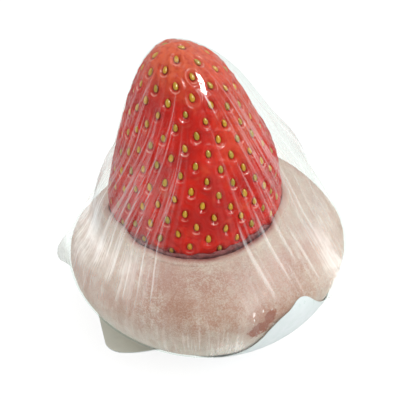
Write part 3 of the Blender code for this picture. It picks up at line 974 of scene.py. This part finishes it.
wrap = {
    "columns": 640,
    "rows": 74,
    "frontShare": 0.70,  # of the columns
    "thickness": 0.05 * mm,
    "floorZ": 0.5 * mm,
    "mouthRadius": 4.5 * mm,
    "overCake": 0.45 * mm,
    "overBerry": 0.42 * mm,
    "bendShare": 0.5,
    "profiles": 480,
    "profilePoints": 90,
    "profileBendShare": 0.6,
    "centreAboveWidest": 4 * mm,
    "slack": 1.5 * mm,
    "slackWaves": 0.05 * mm,
    "slackWaveScale": 210,
    "slackHalfAngle": math.radians(50),
    "tentGrowsZ": (20 * mm, 30 * mm),
    "tentFadesZ": (56 * mm, 66 * mm),
    # the film is drawn in at the back left and stands further off at the right
    "tucks": (
        # direction, half angle, height, half height, how far in
        (math.radians(165), math.radians(48), 44.5 * mm, 10 * mm, 2.4 * mm),
        (math.radians(175), math.radians(44), 29.5 * mm, 5.5 * mm, 2.0 * mm),
        (math.radians(14), math.radians(36), 38.5 * mm, 5.5 * mm, -1.2 * mm),
    ),
    "tuckLeaves": 0.5 * mm,  # room to what is inside
    "tuckGrows": 5 * mm,  # from the belly up
    "flares": (
        # direction, height, how far it stands out, how far it reaches up and down, half its width
        (atLeft, 14.0 * mm, 2.6 * mm, 6.0 * mm, 1.6 * mm, math.radians(5)),
        (math.radians(-27), 16.0 * mm, 2.2 * mm, 3.2 * mm, 1.6 * mm, math.radians(7)),
    ),
    "creases": (
        # height (mm) and direction (degrees) at the top, the same at the foot, half width (degrees), haze
        (64, -92, 38, -134, 0.7, 0.26),
        (65, -130, 49, -162, 1.4, 0.30),
        (60, -98, 37, -124, 0.6, 0.22),
        (58, -92, 26, -118, 0.6, 0.24),
        (53, -94, 34, -110, 0.5, 0.30),
        (50, -102, 21, -114, 0.5, 0.40),
        (47, -110, 22, -120, 0.5, 0.42),
        (46, -117, 20, -127, 0.6, 0.46),
        (52, -121, 21, -136, 0.7, 0.46),
        (47, -129, 26, -139, 0.9, 0.44),
        (56, -112, 36, -128, 0.5, 0.34),
        (59, -120, 40, -142, 0.7, 0.36),
        (57, -134, 36, -150, 0.9, 0.38),
        (55, -51, 38, -42, 0.9, 0.26),
        (48, -56, 36, -50, 0.7, 0.28),
        (60, -37, 42, -34, 0.8, 0.24),
        (58, -30, 40, -28, 1.0, 0.26),
        (57, -44, 40, -38, 0.6, 0.24),
        (61, -24, 44, -23, 0.8, 0.22),
        (54, -35, 33, -33, 0.5, 0.24),
        (50, -27, 30, -29, 0.5, 0.22),
        (59, -17, 44, -19, 0.8, 0.20),
        (52, -47, 34, -43, 0.5, 0.22),
        (37, -66, 21, -59, 1.3, 0.36),
        (40, -55, 23, -50, 1.2, 0.32),
        (41, -47, 26, -43, 1.4, 0.30),
        (34, -39, 20, -36, 0.8, 0.24),
        # the last one is the tail of the glint near the tip: its white haze is a painted highlight
        (60.6, -62, 57.0, -59, 1.3, 0.9),
    ),
    "creaseHeight": 0.14 * mm,
    "pleatGroups": (
        # from, to (degrees), how many, haze, lean (degrees for each mm up)
        (-172, -138, 18, 0.24, 0.45),
        (-138, -112, 12, 0.12, 0.55),
        (-58, -14, 18, 0.17, -0.25),
        (-14, 60, 22, 0.28, 0.0),
        (60, 188, 42, 0.28, 0.0),
    ),
    "pleatHeight": (0.03 * mm, 0.14 * mm),
    # in the units of the two lists above
    "pleatFootZ": (13, 28),
    "pleatTopZ": (38, 62),
    "pleatLeanVaries": 0.1,
    "pleatHalfWidths": (0.5, 0.6, 0.8, 1.3),
    "pleatHazeVaries": (0.3, 1.0),
    # creases and pleats are pointed at both ends and fade out there, and their haze ends in a soft edge
    "ridgeEnds": 0.3,
    "ridgeFadesIn": (0.0, 0.1),
    "ridgeFadesOut": (0.8, 1.0),
    "ridgeReach": 2.5,
    "hazeEdge": (0.5, 1.15),
    # near the tip the film is stretched flat
    "flatFromZ": (48 * mm, 58 * mm),
    "flatLosesWaves": 0.8,
    # nothing stands out where the film faces down
    "baseFacesDown": (-0.9, -0.2),
    "threadZones": (
        # direction, half angle (degrees), height, half height (mm), how much the fine threads show
        (-142, 30, 38, 20, 0.58),
        (-32, 26, 49, 15, 0.75),
        (-150, 30, 56, 9, 0.55),
        (-40, 30, 24, 9, 0.30),
        (-88, 34, 13, 7, 0.45),
        (60, 60, 36, 24, 0.45),
        (150, 50, 36, 24, 0.45),
    ),
    # the grid leans as the wrinkles do, so that they run along its columns
    "leans": (
        # towards, half angle, how far the top has turned (degrees)
        (-135, 42, 40),
        (-52, 26, -20),
    ),
    "leansFromZ": 18 * mm,
    "leansToZ": 63 * mm,
    "leanPower": 1.6,
    "clouds": (
        # direction, half angle (degrees), height, half height (mm), strength
        (-136, 24, 27.5, 4.0, 0.40),
        (-172, 20, 30, 6, 0.42),
        (170, 18, 35, 9, 0.38),
        (16, 18, 38, 9, 0.36),
        (-158, 14, 35, 9, 0.32),
        (-160, 26, 25, 8, 0.40),
        (-128, 24, 19, 8, 0.16),
        (-22, 9, 19, 7, 0.66),
        (-16, 20, 29, 9, 0.24),
        (-70, 7, 20, 3, 0.30),
        (-78, 9, 12, 3, 0.30),
        (-48, 40, 27, 6, 0.07),
        (150, 30, 25, 7, 0.40),
        (60, 30, 22, 7, 0.35),
        (-90, 48, 6, 4, 0.28),
    ),
    # wrinkles and clouds are fainter over the berry, where the film is stretched smooth
    "overBerryShare": 0.85,
    "smoothFromZ": (27 * mm, 33 * mm),
    # a wet spot by the label, with white dots in it that are painted glints
    "wetTowards": math.radians(-67),
    "wetHalfAngle": math.radians(7),
    "wetZ": 17.5 * mm,
    "wetHalfHeight": 4 * mm,
    "wetClears": 0.8,
    "wetRange": (0.2, 0.7),
    "paintedGlints": (1100, 1),
    "paintedGlintRange": (0.66, 0.70),
    # patterns that run along the film, and those that don't
    "wideLines": (1, 1, 0.5, (110, 2.5, 1)),
    "wideLineRange": (0.58, 0.62, 0.0, 0.30),
    "fineLines": (1, 1, 0.5, (260, 4, 1)),
    "fineLineRange": (0.58, 0.62, 0.0, 0.32),
    "breaks": (1, 2, 0.5, (70, 9, 1)),
    "breakRange": (0.30, 0.60, 0.6, 1.0),
    "longPatches": (1, 4, 0.6, (60, 10, 1)),
    "patches": (190, 5, 0.65),
    "veilRange": (0.38, 0.60, 0.45, 1.0),
    "foldRange": (0.38, 0.60, 0.6, 1.0),
    "foldEdge": (0.05, 0.5),
    "leastWhite": 0.004,
    # how much of what is behind them the white wrinkles and clouds hide, and the spare folds at the sides
    "whiteHides": 0.5,
    "tentHides": 0.45,
    "tentFromZ": (27 * mm, 31 * mm),
    "foldsHide": 0.55,
    "foldsWhite": 0.55,
    "shineStraightOn": 0.022,
    "shineAtEdge": 0.15,
    "shinePower": 3.0,
    # it shines most near the tip, where it is stretched flat
    "shineGrowsZ": (46 * mm, 60 * mm, 0.18, 1.0),
    "crinkles": (420, 3),
    "crinkleShare": 0.4,
    "crinklesFadeZ": (52 * mm, 58 * mm, 1.0, 0.2),
    "relief": (0.22, 0.12 * mm),
    "roughness": 0.045,
    "tint": (0.962, 0.980, 0.971),
    "hazeColour": (0.93, 0.96, 0.94),
    "hazeRoughness": 0.4,
}


def wrapCentre(height):
    share = ease(cake["bellyZ"], berry["widestZ"] + wrap["centreAboveWidest"], height)
    axis = berryAxis(height)
    x = cake["middleX"] + (axis.x - cake["middleX"]) * share
    return (x, cake["middleY"] + (axis.y - cake["middleY"]) * share)


def wrapShift(direction, height, own):
    # how far the cake's or the berry's own centre lies from the wrap's in that direction
    film = wrapCentre(height)
    return (own[0] - film[0]) * math.cos(direction) + (own[1] - film[1]) * math.sin(direction)


def drawnTight(points):
    # film bridges every hollow: the outer hull of (radius, height) points that run from the foot up
    hull = []
    for point in points:
        while len(hull) > 1:
            (ax, ay), (bx, by) = hull[-2], hull[-1]
            if (bx - ax) * (point[1] - ay) - (by - ay) * (point[0] - ax) > 0:
                break
            hull.pop()
        hull.append(point)
    return hull


def wrapProfile(direction):
    # from the mouth under the base, round the cake, up the tent and to the tip
    cakeLine = offsetProfile(cakeOutside(direction, steps=14), wrap["overCake"])[1:]
    cakeLine = [(max(radius, 0), max(height, wrap["floorZ"])) for radius, height in cakeLine]
    tight = [(wrap["mouthRadius"], wrap["floorZ"])]
    for radius, height in cakeLine:
        tight.append((radius + wrapShift(direction, height, mouthCentre(height)), height))
    berryLine = []
    steps = 40
    for i in range(steps + 1):
        angle = math.pi / 2 * (1 - i / steps)
        height = berry["widestZ"] + (berry["tipZ"] - berry["widestZ"]) * math.cos(angle)
        radius = berryRadius(height) + berrySwell(direction, height) if i < steps else 0
        berryLine.append((radius, height))
    berryLine = offsetProfile(berryLine, wrap["overBerry"])
    berryLine[-1] = (0, berry["tipZ"] + wrap["overBerry"])
    return resampled(drawnTight(tight + berryLine), wrap["profilePoints"], wrap["profileBendShare"])


def roomInside(direction, height, radius):
    # how far in the film could be drawn before it met the berry or the cake's crown
    lip = lipHeight(direction)
    if height > lip:
        inner = berryRadius(max(height, berry["widestZ"]))
        own = berryAxis(height)
    else:
        belly = bellyHeight(direction)
        lipStart = mouthRadius(direction) + cake["lipWidth"]
        share = clamped((height - belly) / (lip - cake["lipRise"] - belly))
        narrowed = share ** cake["crownPower"] * (1 - (lipStart / cake["radius"]) ** 2)
        inner = cake["radius"] * math.sqrt(1 - narrowed)
        own = mouthCentre(height)
    return max(radius - inner - wrapShift(direction, height, own) - wrap["tuckLeaves"], 0)


def tuckAt(direction, height, radius):
    # how far the film is drawn in there, from the belly up
    tuck = 0
    for towards, halfAngle, middle, halfHeight, depth in wrap["tucks"]:
        tuck += depth * bump(angleBetween(direction, towards), halfAngle) * bump(height - middle, halfHeight)
    belly = bellyHeight(direction)
    tuck *= ease(belly, belly + wrap["tuckGrows"], height)
    return min(tuck, roomInside(direction, height, radius))


def makeRidges():
    # tension ridges from the berry's side down over the cake's shoulder: those of the photo, then the rest
    draw = random.Random(23)
    ridges = []
    for topZ, topTowards, footZ, footTowards, halfWidth, haze in wrap["creases"]:
        ridges.append({
            "topZ": topZ * mm,
            "topTowards": math.radians(topTowards),
            "footZ": footZ * mm,
            "footTowards": math.radians(footTowards),
            "halfWidth": math.radians(halfWidth),
            "height": wrap["creaseHeight"],
            "haze": haze,
        })
    for start, end, count, haze, lean in wrap["pleatGroups"]:
        for _ in range(count):
            footTowards = draw.uniform(start, end)
            footZ, topZ = draw.uniform(*wrap["pleatFootZ"]), draw.uniform(*wrap["pleatTopZ"])
            turned = (lean + draw.uniform(-wrap["pleatLeanVaries"], wrap["pleatLeanVaries"])) * (topZ - footZ)
            ridges.append({
                "topZ": topZ * mm,
                "topTowards": math.radians(footTowards + turned),
                "footZ": footZ * mm,
                "footTowards": math.radians(footTowards),
                "halfWidth": math.radians(draw.choice(wrap["pleatHalfWidths"])),
                "height": draw.uniform(*wrap["pleatHeight"]),
                "haze": haze * draw.uniform(*wrap["pleatHazeVaries"]),
            })
    return ridges


def leanAt(direction, height):
    rise = clamped((height - wrap["leansFromZ"]) / (wrap["leansToZ"] - wrap["leansFromZ"]))
    turned = 0
    for towards, halfAngle, lean in wrap["leans"]:
        turned += lean * bump(angleBetween(direction, math.radians(towards)), math.radians(halfAngle))
    return math.radians(turned) * rise ** wrap["leanPower"]


def ridgesAt(ridges, direction, height):
    raised, streak = 0, 0
    for ridge in ridges:
        share = (height - ridge["footZ"]) / (ridge["topZ"] - ridge["footZ"])
        if not 0 < share < 1:
            continue
        way = ridge["footTowards"] + (ridge["topTowards"] - ridge["footTowards"]) * share
        widest = wrap["ridgeEnds"] + (1 - wrap["ridgeEnds"]) * math.sin(math.pi * share)
        beside = angleBetween(direction, way) / (ridge["halfWidth"] * widest)
        if beside > wrap["ridgeReach"]:
            continue
        fade = ease(*wrap["ridgeFadesIn"], share) * (1 - ease(*wrap["ridgeFadesOut"], share))
        raised += ridge["height"] * bump(beside, 1) * fade
        streak = max(streak, ridge["haze"] * (1 - ease(*wrap["hazeEdge"], beside)) * fade)
    return raised, streak


def zonesAt(zones, direction, height):
    total = 0
    for towards, halfAngle, middle, halfHeight, strength in zones:
        beside = math.degrees(angleBetween(direction, math.radians(towards)))
        total += strength * bump(beside, halfAngle) * bump(height / mm - middle, halfHeight)
    return min(total, 1)


def foldAt(direction, height):
    # how far a fold of spare film stands out there, and how much it shows
    raised, folded = 0, 0
    for towards, middle, reach, above, below, halfWidth in wrap["flares"]:
        beside = max(1 - angleBetween(direction, towards) / halfWidth, 0)
        beside *= bump(height - middle, above if height > middle else below)
        raised += reach * beside
        folded = max(folded, beside)
    return raised, ease(*wrap["foldEdge"], folded)


def makeWrap():
    ridges = makeRidges()
    marks = {name: [] for name in ("streak", "cloud", "thread", "wet", "fold")}
    side = (1 - wrap["frontShare"]) / 2

    def shareOf(share):
        # more columns in the front half, which faces the camera, than in the two quarters behind it
        if share < side:
            return 0.25 * share / side
        if share > 1 - side:
            return 1 - 0.25 * (1 - share) / side
        return 0.25 + 0.5 * (share - side) / wrap["frontShare"]

    profiles = []
    for i in range(wrap["profiles"]):
        line = resampled(wrapProfile(turn * i / wrap["profiles"]), wrap["rows"] + 1, wrap["bendShare"])
        profiles.append(list(zip(line, offsetProfile(line, 1 * mm))))

    def profileSpot(direction, row):
        # a point of the line that faces this way, and the point 1 mm out from it
        place = direction % turn / turn * len(profiles)
        first = profiles[int(place) % len(profiles)][row]
        second = profiles[(int(place) + 1) % len(profiles)][row]
        part = place % 1
        return [[a + (b - a) * part for a, b in zip(start, end)] for start, end in zip(first, second)]

    def column(start):
        points = []
        found = {name: [] for name in marks}
        for row in range(wrap["rows"] + 1):
            direction = start + leanAt(start, profileSpot(start, row)[0][1])
            (radius, height), (outRadius, outHeight) = profileSpot(direction, row)
            normal = Vector((outRadius - radius, outHeight - height)) / mm
            raised, streak = ridgesAt(ridges, direction, height)
            flat = ease(*wrap["flatFromZ"], height)
            raised *= 1 - flat
            tent = ease(*wrap["tentGrowsZ"], height) * (1 - ease(*wrap["tentFadesZ"], height))
            raised += wrap["slack"] * tent * bump(angleBetween(direction, atRight), wrap["slackHalfAngle"])
            raised -= tuckAt(direction, height, radius)
            standing, fold = foldAt(direction, height)
            place = outward(direction) * radius + Vector((0, 0, height))
            waves = noise.noise(place * wrap["slackWaveScale"]) * wrap["slackWaves"]
            raised += standing + waves * (1 - wrap["flatLosesWaves"] * flat)
            raised *= ease(*wrap["baseFacesDown"], normal.y)
            out = radius + normal.x * raised if row < wrap["rows"] else 0
            points += placed([(out, height + normal.y * raised)], direction, wrapCentre)
            wet = bump(angleBetween(direction, wrap["wetTowards"]), wrap["wetHalfAngle"])
            wet *= bump(height - wrap["wetZ"], wrap["wetHalfHeight"])
            shows = 1 - (1 - wrap["overBerryShare"]) * ease(*wrap["smoothFromZ"], height)
            shows *= 1 - wrap["wetClears"] * wet
            found["streak"].append(streak * shows)
            found["cloud"].append(zonesAt(wrap["clouds"], direction, height) * shows)
            found["thread"].append(zonesAt(wrap["threadZones"], direction, height) * shows)
            found["fold"].append(fold)
            found["wet"].append(wet)
        for name, numbers in found.items():
            marks[name].append(numbers)
        return points

    film = wrapGrid("wrap_film", wrap["columns"], wrap["rows"], column, shareOf, marks)
    wall = film.modifiers.new("wall", "SOLIDIFY")
    wall.thickness = wrap["thickness"]
    wall.offset = -1
    applyModifiers(film)
    return film


def clearFilmMaterial():
    # lets light through, shines most where it is seen edge-on, and turns white along its creases, its fine
    # threads and in clouds. Only a wall that faces the light or the eye does so, so each is counted once
    material, tree, haze = newMaterial("clear_film")
    skinMap = add(tree, "ShaderNodeTexCoord").outputs
    alongFilm, place = skinMap["UV"], skinMap["Object"]
    height = add(tree, "ShaderNodeSeparateXYZ", ("Vector", place)).outputs["Z"]
    wideLines = speckles(tree, alongFilm, *wrap["wideLines"])
    fineLines = speckles(tree, alongFilm, *wrap["fineLines"])
    longPatches = speckles(tree, alongFilm, *wrap["longPatches"])
    patches = times(tree, plus(tree, speckles(tree, place, *wrap["patches"]), longPatches), 0.5)
    lines = ramp(tree, wideLines, *wrap["wideLineRange"])
    lines = plus(tree, lines, ramp(tree, fineLines, *wrap["fineLineRange"]))
    broken = ramp(tree, speckles(tree, alongFilm, *wrap["breaks"]), *wrap["breakRange"])
    veil = times(tree, readNumber(tree, "cloud"), ramp(tree, patches, *wrap["veilRange"]))
    crumpled = times(tree, readNumber(tree, "fold"), ramp(tree, patches, *wrap["foldRange"]))
    # painted glints: white dots in the haze of the wet spot
    paintedGlints = ramp(tree, speckles(tree, place, *wrap["paintedGlints"]), *wrap["paintedGlintRange"])
    paintedGlints = times(tree, paintedGlints, ramp(tree, readNumber(tree, "wet"), *wrap["wetRange"]))
    white = times(tree, readNumber(tree, "streak"), broken)
    white = plus(tree, white, times(tree, readNumber(tree, "thread"), lines))
    white = plus(tree, white, veil)
    white = plus(tree, white, times(tree, crumpled, wrap["foldsWhite"]))
    hidden = times(tree, white, wrap["whiteHides"])
    hidden = math2(tree, "MAXIMUM", hidden, times(tree, crumpled, wrap["foldsHide"]))
    onTent = ramp(tree, height, *wrap["tentFromZ"], 0.0, wrap["tentHides"])
    hidden = plus(tree, hidden, times(tree, veil, onTent), clamp=True)
    white = plus(tree, plus(tree, white, paintedGlints), wrap["leastWhite"], clamp=True)
    facing = math2(tree, "SUBTRACT", 1, add(tree, "ShaderNodeNewGeometry").outputs["Backfacing"])
    clear = add(tree, "ShaderNodeBsdfTransparent", Color=(*wrap["tint"], 1))
    shine = add(tree, "ShaderNodeBsdfGlossy", Roughness=wrap["roughness"])
    crinkles = times(tree, speckles(tree, place, *wrap["crinkles"]), wrap["crinkleShare"])
    waves = times(tree, plus(tree, wideLines, crinkles), ramp(tree, height, *wrap["crinklesFadeZ"]))
    addRelief(tree, shine, waves, *wrap["relief"])
    edgeOn = add(tree, "ShaderNodeLayerWeight", Blend=0.5).outputs["Facing"]
    shining = times(tree, math2(tree, "POWER", edgeOn, wrap["shinePower"]), wrap["shineAtEdge"])
    shining = times(tree, plus(tree, shining, wrap["shineStraightOn"]), facing)
    shining = times(tree, shining, ramp(tree, height, *wrap["shineGrowsZ"]))
    shown = add(tree, "ShaderNodeMixShader", (0, shining), (1, clear.outputs[0]), (2, shine.outputs[0]))
    setInputs(haze, {"Base Color": (*wrap["hazeColour"], 1), "Roughness": wrap["hazeRoughness"]})
    # a mix with one end left open dims the other
    wrinkled = add(tree, "ShaderNodeMixShader", (0, times(tree, white, facing)), (2, haze.outputs[0]))
    behind = add(tree, "ShaderNodeMixShader", (0, times(tree, hidden, facing)), (1, shown.outputs[0]))
    both = add(tree, "ShaderNodeAddShader", (0, wrinkled.outputs[0]), (1, behind.outputs[0]))
    tree.links.new(both.outputs[0], tree.nodes["Material Output"].inputs["Surface"])
    return material


# label

label = {
    # corners of the label smoothed out flat, about the cake's middle, from the near left one round
    "corners": (
        (-21.0 * mm, -15.2 * mm),
        (-8.0 * mm, -15.2 * mm),
        (17.3 * mm, -33.9 * mm),
        (28.5 * mm, -31.3 * mm),
        (30.1 * mm, -0.2 * mm),
        (-26.0 * mm, 11.0 * mm),
    ),
    "rounding": 3.3 * mm,
    "roundingSteps": 6,
    "step": 1.3 * mm,
    "thickness": 0.16 * mm,
    "lowZ": 0.02 * mm,
    "underWrap": 0.07 * mm,
    "flatTowards": math.radians(-172),
    "flatHalfAngle": math.radians(35),
    "clingHalfAngle": math.radians(62),
    "sharpFrom": math.radians(40),
    "colour": (0.86, 0.935, 0.92),
    "roughness": 0.42,
    # the back is its own grey-beige with painted shade from the cake, darkest away from the rim, which stays
    # lighter
    "shadedBackColour": (0.84, 0.85, 0.76),
    "innerRoughness": 0.2,
    "rimColour": (0.88, 0.89, 0.80),
    "rimWidth": 4.2 * mm,
    "fibres": (500, 4),
    "fibreRange": (0.3, 0.7),
    "fibreLightens": 1.1,
    "relief": (0.08, 0.03 * mm),
}


def labelSpot(flat):
    # level at the near left, and stuck up round the wrap elsewhere
    direction = math.atan2(flat.y, flat.x)
    fromFlat = angleBetween(direction, label["flatTowards"])
    cling = ease(label["flatHalfAngle"], label["clingHalfAngle"], fromFlat)
    lining = offsetProfile(wrapProfile(direction), label["underWrap"])
    profile = [(0, label["lowZ"])] + [(radius, max(height, label["lowZ"])) for radius, height in lining]
    clung = placed([pointAlong(profile, lengthsAlong(profile), flat.length)], direction, wrapCentre)[0]
    level = Vector((cake["middleX"] + flat.x, cake["middleY"] + flat.y, label["lowZ"]))
    return level.lerp(clung, cling)


def makeLabel():
    deselect()
    bpy.ops.mesh.primitive_circle_add(vertices=len(label["corners"]), fill_type="NGON")
    sheet = justAdded("label_sheet")
    corners = [Vector((*corner, 0)) for corner in label["corners"]]
    for vert, corner in zip(sheet.data.vertices, corners):
        vert.co = corner
    editAll(sheet)
    bpy.ops.mesh.bevel(offset=label["rounding"], segments=label["roundingSteps"], affect="VERTICES")
    for axis in (Vector((1, 0, 0)), Vector((0, 1, 0))):
        reaches = [corner.dot(axis) for corner in corners]
        start, end = min(reaches), max(reaches)
        cuts = round((end - start) / label["step"])
        for i in range(1, cuts):
            bpy.ops.mesh.select_all(action="SELECT")
            bpy.ops.mesh.bisect(plane_co=axis * (start + (end - start) * i / cuts), plane_no=axis)
    bpy.ops.mesh.select_all(action="SELECT")
    bpy.ops.mesh.quads_convert_to_tris()
    bpy.ops.object.mode_set(mode="OBJECT")
    rims = []
    for vert in sheet.data.vertices:
        fromEdge = []
        for a, b in zip(corners, corners[1:] + corners[:1]):
            share = geometry.intersect_point_line(vert.co, a, b)[1]
            fromEdge.append((vert.co - a.lerp(b, clamped(share))).length)
        rims.append(1 - ease(0, label["rimWidth"], min(fromEdge)))
        vert.co = labelSpot(vert.co.copy())
    setNumbers(sheet, "rim", rims)
    editAll(sheet)
    bpy.ops.mesh.normals_make_consistent(inside=False)
    bpy.ops.object.mode_set(mode="OBJECT")
    # its faces point down and out, away from the cake
    below = min(sheet.data.polygons, key=lambda face: face.center.z)
    if below.normal.z > 0:
        editAll(sheet)
        bpy.ops.mesh.flip_normals()
        bpy.ops.object.mode_set(mode="OBJECT")
    wall = sheet.modifiers.new("wall", "SOLIDIFY")
    wall.thickness = label["thickness"]
    wall.offset = -1
    wall.material_offset = 1
    face = labelMaterial("label_face", label["colour"], label["colour"], label["roughness"])
    # the back is shaded towards the cake: painted shade
    back = labelMaterial("label_back", label["shadedBackColour"], label["rimColour"], label["innerRoughness"])
    sheet.data.materials.append(face)
    sheet.data.materials.append(back)
    applyModifiers(sheet)
    pick(sheet)
    bpy.ops.object.shade_smooth_by_angle(angle=label["sharpFrom"])
    return sheet


def labelMaterial(name, colour, rimColour, roughness):
    material, tree, paper = newMaterial(name)
    place = add(tree, "ShaderNodeTexCoord").outputs["Object"]
    fibres = speckles(tree, place, *label["fibres"])
    lighter = tuple(min(part * label["fibreLightens"], 1) for part in colour)
    fibrous = mixColor(tree, ramp(tree, fibres, *label["fibreRange"]), colour, lighter)
    addRelief(tree, paper, fibres, *label["relief"])
    paint(tree, paper, mixColor(tree, readNumber(tree, "rim"), fibrous, rimColour), {"Roughness": roughness})
    return material


# floor, lights and camera

studio = {
    "floorSize": 3.0,
    "floorZ": -0.05 * mm,
    "floorRoughness": 0.9,
    "floorColour": (0.80, 0.81, 0.81),
    # a pale glow that only the camera sees keeps the floor white
    "floorGlow": 1.22,
    "floorGlowShare": 0.70,
    "worldColour": (0.98, 0.99, 1.0),
    "worldStrength": 0.72,
    "shownStrength": 1.0,
    # the side that the camera is on is dark, so the berry's front isn't veiled by its reflection
    "darkSide": (0.0, -0.75, 0.66),
    "darkSideStrength": 0.14,
    "darkSideRange": (0.25, 0.75),
    # place, size, power, what sees it and how far it is turned on its axis (degrees)
    "lights": {
        "key_light": ((0.380, -0.190, 0.410), (0.30, 0.30), 0.8, "matt", 0),
        "top_light": ((-0.03, -0.12, 0.62), (0.20, 0.20), 0.45, "all", 0),
        "glint_light": ((0.332, -0.226, 0.440), (0.085, 0.24), 4.6, "glossy", -45),
    },
    "lightsAimAt": (0, -5 * mm, 60 * mm),
}

camera = {
    "target": (-0.34 * mm, 0.12 * mm, 28.83 * mm),
    "distance": 450 * mm,
    "elevation": math.radians(37),
    "viewWidth": 83.3 * mm,
    "sensorWidth": 36,
    "seesFrom": 10 * mm,
}


def makeFloor():
    deselect()
    bpy.ops.mesh.primitive_plane_add(size=studio["floorSize"], location=(0, 0, studio["floorZ"]))
    floor = justAdded("pale_floor")
    material, tree, surface = newMaterial("pale_floor")
    setInputs(surface, {"Base Color": (*studio["floorColour"], 1), "Roughness": studio["floorRoughness"]})
    glow = add(tree, "ShaderNodeEmission", Strength=studio["floorGlow"])
    seen = add(tree, "ShaderNodeLightPath").outputs["Is Camera Ray"]
    share = times(tree, seen, studio["floorGlowShare"])
    both = add(tree, "ShaderNodeMixShader", (0, share), (1, surface.outputs[0]), (2, glow.outputs[0]))
    tree.links.new(both.outputs[0], tree.nodes["Material Output"].inputs["Surface"])
    floor.data.materials.append(material)


def aimAt(piece, target):
    piece.rotation_euler = (Vector(target) - piece.location).to_track_quat("-Z", "Y").to_euler()


def makeLight(name, place, size, power, seenBy, turned):
    deselect()
    bpy.ops.object.light_add(type="AREA", location=place)
    lamp = justAdded(name)
    lamp.data.shape = "RECTANGLE"
    lamp.data.size, lamp.data.size_y = size
    lamp.data.energy = power
    lamp.visible_glossy = seenBy != "matt"
    lamp.visible_diffuse = seenBy != "glossy"
    aimAt(lamp, studio["lightsAimAt"])
    lamp.rotation_euler.rotate_axis("Z", math.radians(turned))


def makeStudio():
    makeFloor()
    for name, settings in studio["lights"].items():
        makeLight(name, *settings)
    world = bpy.data.worlds.new("studio")
    bpy.context.scene.world = world
    world.use_nodes = True
    tree = world.node_tree
    sky = tree.nodes["Background"]
    sky.inputs["Color"].default_value = (*studio["worldColour"], 1)
    way = add(tree, "ShaderNodeTexCoord").outputs["Generated"]
    towardsDark = add(tree, "ShaderNodeVectorMath", (0, way), operation="DOT_PRODUCT")
    towardsDark.inputs[1].default_value = studio["darkSide"]
    dark = ramp(tree, towardsDark.outputs["Value"], *studio["darkSideRange"])
    path = add(tree, "ShaderNodeLightPath")
    shown = math2(tree, "MAXIMUM", path.outputs["Is Camera Ray"], path.outputs["Is Glossy Ray"])
    lit = ramp(tree, shown, 0, 1, studio["worldStrength"], studio["shownStrength"])
    mirrored = times(tree, dark, path.outputs["Is Glossy Ray"])
    dimmed = times(tree, mirrored, studio["shownStrength"] - studio["darkSideStrength"])
    strength = math2(tree, "SUBTRACT", lit, dimmed)
    tree.links.new(strength, sky.inputs["Strength"])
    target = Vector(camera["target"])
    back = Vector((0, -math.cos(camera["elevation"]), math.sin(camera["elevation"])))
    bpy.ops.object.camera_add(location=target + back * camera["distance"])
    view = justAdded("photo_camera")
    aimAt(view, target)
    view.data.sensor_width = camera["sensorWidth"]
    view.data.lens = camera["sensorWidth"] * camera["distance"] / camera["viewWidth"]
    view.data.clip_start = camera["seesFrom"]
    bpy.context.scene.camera = view
    bpy.context.scene.view_settings.view_transform = "Standard"
    bpy.context.scene.view_settings.look = "None"


def dress(piece, material, slot, *nodes):
    if material:
        piece.data.materials.clear()
        piece.data.materials.append(material)
    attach(piece, "root")
    if nodes:
        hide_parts(*nodes)


makeStudio()
print("studio made")
places = seedPlaces()
dress(makeBerryFlesh(places), berrySkinMaterial(), "berry_skin", "strawberry")
print("berry flesh made")
dress(makeSeeds(places), seedMaterial(), "berry_skin")
print("seeds made:", len(places))
dress(makeRiceCake(), riceCakeMaterial(), "rice_cake", "mochi")
print("rice cake made")
dress(makeBeanFilling(), beanPasteMaterial(), "bean_paste", "bean_paste")
print("bean filling made")
dress(makeWrap(), clearFilmMaterial(), "clear_film", "film")
print("wrap made")
dress(makeLabel(), None, "label_paper", "label")
print("label made")

for piece in bpy.context.scene.objects:
    if piece.type == "MESH" and not piece.hide_render:
        print(piece.name, sum(len(face.vertices) - 2 for face in piece.data.polygons), "triangles")
